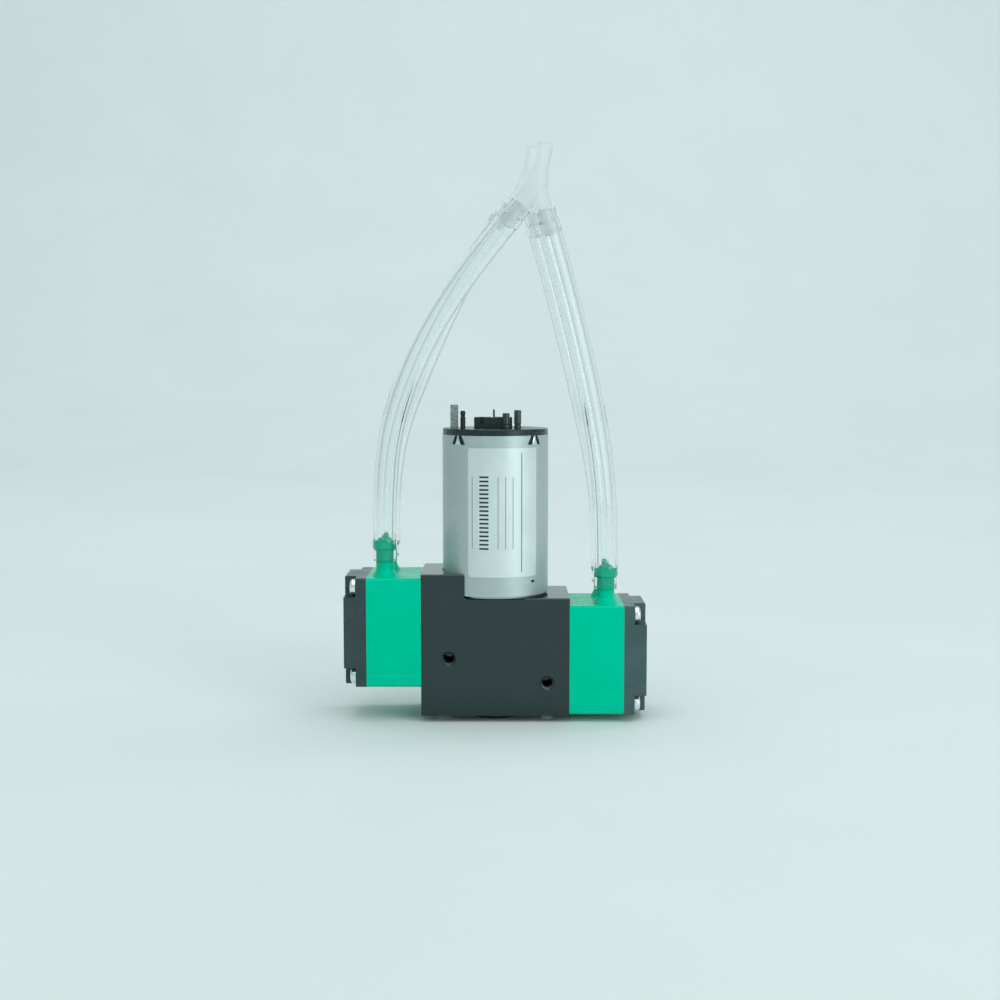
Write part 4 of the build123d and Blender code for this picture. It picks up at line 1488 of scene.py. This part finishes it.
    def marks(self) -> list[bpy.types.Object]:
        """The generic print on the label: ruled lines and a column of even bars.

        Returns:
            The printed strips.
        """
        tall = self.high[2] - self.label_below_rim - self.low[2] - self.label_above_foot
        made = [self.strip("label_bars", self.bar_angle, self.bar_reach, self.bar_height, self.bar_count)]
        short = tall - 2 * self.rule_margin
        for number, angle in enumerate(self.rule_angles, 1):
            made.append(self.strip(f"label_rule_{number}", angle, self.rule_width, short))
        long = tall - 2 * self.long_rule_margin
        made.append(self.strip("label_long_rule", self.long_rule_angle, self.long_rule_width, long))
        return made

    def wedge(self, name: str, angle: float, foot: float, tip: float, rise: float) -> Bench:
        """A sheet on the can that narrows upwards and bulges in its middle.

        Args:
            name: The piece's name.
            angle: Its place round the can, in degrees.
            foot: Half its width at the foot, in degrees.
            tip: Half its width at the rim, in degrees.
            rise: How far its middle bulges.

        Returns:
            The bench with the sheet in work.
        """
        low_half, high_half, middle = (math.radians(value) for value in (foot, tip, angle))

        def wrap(p: Vector) -> Vector:
            """Lays a point of the flat two-unit sheet on the can."""
            share = (p.y + 1) / 2
            half = low_half + (high_half - low_half) * share
            bulge = rise * math.sin(math.pi * share) * math.cos(math.pi / 2 * p.x)
            height = self.high[2] - self.tongue_height * (1 - share) - self.rim_gap
            return self.on_can(middle + half * p.x, height, HAIR + bulge)

        with bench(name) as work:
            bpy.ops.mesh.primitive_plane_add(size=2)
            work.take()
            work.edit()
            bpy.ops.mesh.subdivide(number_cuts=self.wedge_cuts)
            work.leave()
            work.move_points(wrap)
        return work

    def tongue(self, number: int, angle: float) -> bpy.types.Object:
        """One crimped tongue between two slots under the rim, bulged a little by the tool.

        Args:
            number: Its number, for its name.
            angle: Its place round the can.

        Returns:
            The tongue.
        """
        def lift(p: Vector) -> Vector:
            """Moves a point away from the can's middle line."""
            outwards = Vector((p.x - self.middle[0], p.y - self.middle[1], 0)).normalized()
            return p + outwards * self.tongue_lift

        name = f"crimped_tongue_{number}"
        work = self.wedge(name, angle, self.tongue_foot, self.tongue_tip, self.tongue_rise)
        work.move_points(lift)
        work.apply("SOLIDIFY", thickness=self.tongue_thickness, offset=-1.0)
        work.smooth(angle=50)
        return work.piece

    def slot(self, number: int, angle: float) -> bpy.types.Object:
        """A dark sheet round one tongue: painted shade that stands for the shadow in its punched slot.

        Args:
            number: Its number, for its name.
            angle: Its place round the can.

        Returns:
            The painted shade sheet.
        """
        work = self.wedge(f"crimp_slot_{number}", angle, self.slot_shade_foot, self.slot_shade_tip, 0.0)
        work.apply("SOLIDIFY", thickness=self.slot_shade_thickness, offset=-1.0)
        work.smooth(angle=50)
        return work.piece

    def punch(self) -> list[bpy.types.Object]:
        """The small punched dimple low on the can: a raised ring round a dark disc, painted shade that
        stands for the shadow inside the dimple.

        Returns:
            The ring and the painted shade disc.
        """
        level = self.low[2] + self.punch_above_foot
        spot = self.on_can(math.radians(self.punch_angle), level, -self.punch_sink)
        outwards = spot - Vector((*self.middle, spot.z))
        widened = Matrix.Diagonal((self.punch_stretch, 1, 1, 1))
        place = Matrix.Translation(spot) @ facing(tuple(outwards)) @ widened
        size = self.punch_radius
        made = []
        for name, profile in (("punch_ring", self.ring_profile), ("punch_shade_disc", self.shade_disc_profile)):
            with bench(name) as work:
                work.turn([(size * across, size * up) for across, up in profile], self.punch_segments)
                work.smooth(angle=50)
            made.append(placed(work.piece, place))
        return made

    def build(self) -> None:
        """Makes and dresses all of the trim."""
        fitted(self.label(), LABEL_PAPER, "plated_steel")
        for mark in self.marks():
            fitted(mark, LABEL_INK, "plated_steel")
        for number, angle in enumerate(self.tongue_angles, 1):
            fitted(self.tongue(number, angle), TONGUE_STEEL, "plated_steel")
            # Painted shade round each tongue stands for the shadow in its slot.
            fitted(self.slot(number, angle), SLOT_SHADE, "black_plastic")
        # The dark disc is painted shade for the shadow inside the dimple.
        ring, shade_disc = self.punch()
        fitted(ring, CAN_STEEL, "plated_steel")
        fitted(shade_disc, BLACK_PLASTIC, "black_plastic")


@dataclass
class EndDiscParts:
    """What stands on the motor's end disc: connector shell, pins and two small can capacitors."""

    shell_wall: float = 0.0009
    shell_edge: float = 0.00018
    edge_steps: int = 2
    edge_profile: float = 0.6
    key_width: float = 0.0013
    key_depth: float = 0.0022
    key_inset: float = 0.0027
    key_share: float = 0.24
    pin_width: float = 0.00064
    pin_count: int = 4
    pin_point: float = 0.0005
    pin_sink: float = 0.0005
    pin_edge: float = 0.00006
    point_share: float = 0.4
    tall_pin_shift: float = 0.00025
    case_radius: float = 0.0012
    case_segments: int = 40
    shorter_by: float = 0.001
    groove_at: float = 0.0011
    groove_depth: float = 0.0002
    lip: float = 0.00028
    score_turns: tuple[float, float] = (25.0, 115.0)
    score_half: float = 0.00007
    score_depth: float = 0.00007
    score_overcut: float = 0.0002
    top_edge: float = 0.00008
    top_sink: float = 0.00002

    def key_slots(self, low: Sequence[float], high: Sequence[float]) -> list[bpy.types.Object]:
        """The blocks that cut the keyways into the connector's front and rear walls.

        Args:
            low: The connector's lowest corner.
            high: The connector's highest corner.

        Returns:
            The three blocks.
        """
        depth = self.key_share * (high[1] - low[1])
        front = (low[1] - self.shell_wall, low[1] + depth)
        rear = (high[1] - depth, high[1] + self.shell_wall)
        reach = self.key_width / 2
        bottom, top = high[2] - self.key_depth, high[2] + self.shell_wall
        slots = []
        for name, x, (near, far) in (
                ("key_slot_rear", (low[0] + high[0]) / 2, rear),
                ("key_slot_left", low[0] + self.key_inset, front),
                ("key_slot_right", high[0] - self.key_inset, front)):
            with bench(name) as work:
                slots.append(work.block((x - reach, near, bottom), (x + reach, far, top)))
        return slots

    def shell(self) -> bpy.types.Object:
        """The open housing of the connector, with keyways in its front and rear walls.

        Returns:
            The housing.
        """
        low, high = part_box("connector_header")
        slots = self.key_slots(low, high)
        top = high[2] - HAIR
        with bench("connector_shell") as work:
            work.block(tuple(low), tuple(high))
            work.edit()
            work.select_edges(lambda a, b: abs(a.z - b.z) > self.shell_wall or min(a.z, b.z) > top)
            bpy.ops.mesh.bevel(offset=self.shell_edge, segments=self.edge_steps, profile=self.edge_profile)
            work.select_faces(lambda c, n: n.z > UPWARDS and c.z > top)
            bpy.ops.mesh.inset(thickness=self.shell_wall - self.shell_edge)
            down = low[2] + self.shell_wall - high[2]
            bpy.ops.mesh.extrude_region_move(TRANSFORM_OT_translate={"value": (0, 0, down)})
            work.leave()
            for slot in slots:
                work.cut(slot)
            work.smooth(angle=30)
        return work.piece

    def pin(self, name: str, x: float, y: float, foot: float, top: float) -> bpy.types.Object:
        """One square pin with a pointed end.

        Args:
            name: The pin's name.
            x: Its place across.
            y: Its place in depth.
            foot: Height of its foot.
            top: Height of its tip.

        Returns:
            The pin.
        """
        half = self.pin_width / 2
        with bench(name) as work:
            work.block((x - half, y - half, foot), (x + half, y + half, top - self.pin_point))
            work.edit()
            work.select_faces(lambda c, n: n.z > UPWARDS)
            bpy.ops.mesh.extrude_region_move(TRANSFORM_OT_translate={"value": (0, 0, self.pin_point)})
            share = self.point_share
            bpy.ops.transform.resize(value=(share, share, 1.0), center_override=(x, y, top))
            work.select_edges(lambda a, b: abs(a.z - b.z) > self.pin_point + HAIR)
            bpy.ops.mesh.bevel(offset=self.pin_edge, segments=1)
            work.leave()
            work.smooth(angle=25)
        return work.piece

    def pins(self) -> list[bpy.types.Object]:
        """The row in the housing and the tall pin behind it.

        Returns:
            The pins, the row's from the left and then the tall one.
        """
        shell_low, shell_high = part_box("connector_header")
        low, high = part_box("connector_pins")
        pitch = (shell_high[0] - shell_low[0]) / self.pin_count
        row = (shell_low[1] + shell_high[1]) / 2
        foot = shell_low[2] + self.shell_wall - self.pin_sink
        short = shell_high[2] - self.pin_sink
        made = []
        for i in range(self.pin_count):
            made.append(self.pin(f"header_pin_{i + 1}", shell_low[0] + pitch * (i + 0.5), row, foot, short))
        rear = high[1] - self.pin_width / 2
        tall_x = (shell_low[0] + shell_high[0]) / 2 + self.tall_pin_shift
        made.append(self.pin("tall_pin", tall_x, rear, low[2], high[2]))
        return made

    def capacitor(self, number: int, x: float, y: float, foot: float, top: float) -> list[bpy.types.Object]:
        """A can capacitor: a sleeve with its crimp groove, and a bare metal top with a scored cross.

        Args:
            number: Its number, for the names.
            x: Its place across.
            y: Its place in depth.
            foot: Height of its foot.
            top: Height of its top.

        Returns:
            The sleeve and the metal top.
        """
        outer, waist = self.case_radius, self.case_radius - self.groove_depth
        groove = foot + self.groove_at
        step = self.groove_depth
        with bench(f"capacitor_sleeve_{number}") as work:
            work.turn([
                (0.0, foot), (outer - step / 2, foot), (outer, foot + step / 2), (outer, groove - step / 2),
                (waist + step / 3, groove), (waist, groove + step), (waist + step / 3, groove + 2 * step),
                (outer, groove + 2.5 * step), (outer, top - 1.5 * step),
                (outer - 0.4 * step, top - 0.4 * step), (outer - step, top), (outer - self.lip, top),
                (outer - self.lip, top - step), (0.0, top - step)], self.case_segments)
            work.smooth(angle=40)
        sleeve = placed(work.piece, Matrix.Translation((x, y, 0)))
        half = self.score_half
        scores = []
        for turn in self.score_turns:
            with bench("score_line") as work:
                low = (-outer, -half, top - self.score_depth)
                bar = work.block(low, (outer, half, top + self.score_overcut))
            scores.append(placed(bar, Matrix.Rotation(math.radians(turn), 4, "Z")))
        rim = outer - self.lip - HAIR
        flat = top - self.top_sink
        with bench(f"capacitor_top_{number}") as work:
            work.turn([
                (0.0, top - step), (rim, top - step), (rim, top - self.top_edge),
                (rim - self.top_edge, flat), (0.0, flat)], self.case_segments)
            for score in scores:
                work.cut(score)
            work.smooth(angle=30)
        return [sleeve, placed(work.piece, Matrix.Translation((x, y, 0)))]

    def capacitors(self) -> list[list[bpy.types.Object]]:
        """Both capacitors, the left one a little shorter.

        Returns:
            The sleeve and the metal top of each.
        """
        low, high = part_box("capacitors")
        row = (low[1] + high[1]) / 2
        left = self.capacitor(1, low[0] + self.case_radius, row, low[2], high[2] - self.shorter_by)
        right = self.capacitor(2, high[0] - self.case_radius, row, low[2], high[2])
        return [left, right]

    def build(self) -> None:
        """Makes and dresses everything on the disc."""
        fitted(self.shell(), BLACK_PLASTIC, "black_plastic", "connector_header")
        for pin in self.pins():
            fitted(pin, PIN_TIN, "pin_tin", "connector_pins")
        for sleeve, top in self.capacitors():
            fitted(sleeve, SLEEVE_PLASTIC, "black_plastic", "capacitors")
            fitted(top, SCREW_STEEL, "black_plastic", "capacitors")


# Crankcase threads

@dataclass
class FrontThreads:
    """The threads cut in the two blind holes of the crankcase's front."""

    left_hole: tuple[float, float] = (-0.0157, 0.0216)
    right_hole: tuple[float, float] = (0.0174, 0.0133)
    radius: float = 0.0021
    ridge: float = 0.00028
    ridge_share: float = 0.8
    sink: float = 0.00004
    pitch: float = 0.0007
    start: float = 0.0005
    turns: int = 9
    steps: int = 32

    def build(self) -> None:
        """Models one thread and copies it into both holes."""
        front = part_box("crankcase")[0][1]
        wall = self.radius + self.sink
        foot = self.pitch * self.ridge_share
        corners = ((wall, 0.0), (self.radius - self.ridge, foot / 2), (wall, foot))
        with bench("front_thread_model") as work:
            model = work.wind(corners, self.pitch, self.turns, self.steps)
            work.smooth(angle=30)
        for side, (x, z) in ((Side.LEFT, self.left_hole), (Side.RIGHT, self.right_hole)):
            spot = Matrix.Translation((x, front + self.start, z)) @ facing((0, 1, 0))
            fitted(copied(model, f"front_thread_{side.prefix}", spot), TAPPED_ALLOY, "black_alloy")
        bpy.data.objects.remove(model)


# Y fittings

@dataclass
class YFitting:
    """A moulded Y fitting: a plain stem above and two barbed arms below, blended into one body."""

    row: Row
    place: Point
    tilt: float
    half_angle: float = 28.0
    arm: float = 0.0168
    seat: float = 0.0083
    neck: float = 0.003
    body: float = 0.0036
    stem: float = 0.0144
    stem_radius: float = 0.0025
    bore: float = 0.0015
    barb_root: float = 0.0021
    barb_crest: float = 0.00275
    barb_bead: float = 0.004
    barb_rise: float = 0.0005
    barb_taper: float = 0.0011
    barb_tip: float = 0.002
    neck_taper: float = 0.0008
    stem_chamfer: float = 0.0004
    bore_overrun: float = 0.001
    bore_start: float = -0.0002
    segments: int = 48
    bore_segments: int = 32
    voxel: float = 0.0002
    blend_factor: float = 0.5
    blend_rounds: int = 5

    def arm_piece(self, side: int) -> bpy.types.Object:
        """One arm with its barb, turned to its side.

        Args:
            side: Plus one for the left arm, minus one for the right.

        Returns:
            The arm.
        """
        bead = self.arm - self.barb_bead
        with bench("y_arm") as work:
            work.turn([
                (0.0, 0.0), (self.neck, 0.0), (self.neck, self.seat), (self.barb_root, self.seat),
                (self.barb_root, bead), (self.barb_crest, bead + self.barb_rise),
                (self.barb_crest, self.arm - self.barb_taper), (self.barb_tip, self.arm),
                (0.0, self.arm)], self.segments)
        return placed(work.piece, Matrix.Rotation(math.radians(180 + side * self.half_angle), 4, "Y"))

    def bore_piece(self, length: float, turn: float) -> bpy.types.Object:
        """A round cutter along one branch.

        Args:
            length: How far it reaches.
            turn: Its turn about the depth axis, in degrees.

        Returns:
            The cutter.
        """
        start = self.bore_start
        with bench("y_bore") as work:
            corners = [(0.0, start), (self.bore, start), (self.bore, length), (0.0, length)]
            work.turn(corners, self.bore_segments)
        return placed(work.piece, Matrix.Rotation(math.radians(turn), 4, "Y"))

    def model(self) -> bpy.types.Object:
        """Fuses the branches, blends their joints and cuts the bores.

        Returns:
            The fitting about the origin.
        """
        arms = [self.arm_piece(side) for side in (-1, 1)]
        half_seat = self.seat / 2
        chamfer = self.stem_chamfer
        with bench("y_stem") as work:
            stem = work.turn([
                (0.0, 0.0), (self.neck, 0.0), (self.neck, half_seat),
                (self.stem_radius, half_seat + self.neck_taper), (self.stem_radius, self.stem - chamfer),
                (self.stem_radius - chamfer, self.stem), (0.0, self.stem)], self.segments)
        with bench(f"{self.row.name.lower()}_y_fitting") as work:
            bpy.ops.mesh.primitive_uv_sphere_add(
                segments=self.segments, ring_count=self.segments // 2, radius=self.body)
            work.take()
            for branch in arms + [stem]:
                work.add(branch)
            work.apply("REMESH", mode="VOXEL", voxel_size=self.voxel, adaptivity=0.0)
            work.apply("SMOOTH", factor=self.blend_factor, iterations=self.blend_rounds)
            up, down = self.stem + self.bore_overrun, self.arm + self.bore_overrun
            for length, turn in ((up, 0.0), (down, 180 + self.half_angle), (down, 180 - self.half_angle)):
                work.cut(self.bore_piece(length, turn))
            work.smooth(angle=40)
        return work.piece

    def build(self) -> bpy.types.Object:
        """Makes the fitting at its place and dresses it.

        Returns:
            The fitting.
        """
        spot = Matrix.Translation(self.place) @ Matrix.Rotation(math.radians(self.tilt), 4, "Y")
        piece = placed(self.model(), spot)
        return fitted(piece, MILKY_PLASTIC, "natural_plastic", f"{self.row.name.lower()}_y_connector")


@dataclass
class PackedNodes:
    """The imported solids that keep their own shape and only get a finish."""

    # The right end cover wears a lighter copy of the cover finish: painted light.
    odd_ones: dict[str, Dress] = field(default_factory=lambda: {"right_end_cover": PAINTED_LIT_COVER})

    def build(self) -> None:
        """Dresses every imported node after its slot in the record."""
        slots = {row["node"]: row["material_slot"] for row in frame["record"]["subparts"]}
        for name, node in frame["nodes"].items():
            dress(node, self.odd_ones.get(name, SLOT_FINISHES[slots[name]]))
        log.info("%d packed nodes dressed", len(slots))


def main() -> None:
    """Builds the camera, each sub-assembly and the studio in order."""
    logging.basicConfig(level=logging.INFO, format="%(message)s")
    PhotoCamera().build()
    front_fitting = YFitting(Row.FRONT, place=(0.0139, -0.006, 0.179), tilt=12.0).build()
    rear_fitting = YFitting(Row.REAR, place=(0.0106, 0.006, 0.1794), tilt=11.0).build()
    HoseSet().build(front_fitting, rear_fitting)
    PackedNodes().build()
    Screws().build()
    CanTrim().build()
    EndDiscParts().build()
    FrontThreads().build()
    Studio().build()


if __name__ == "__main__":
    main()
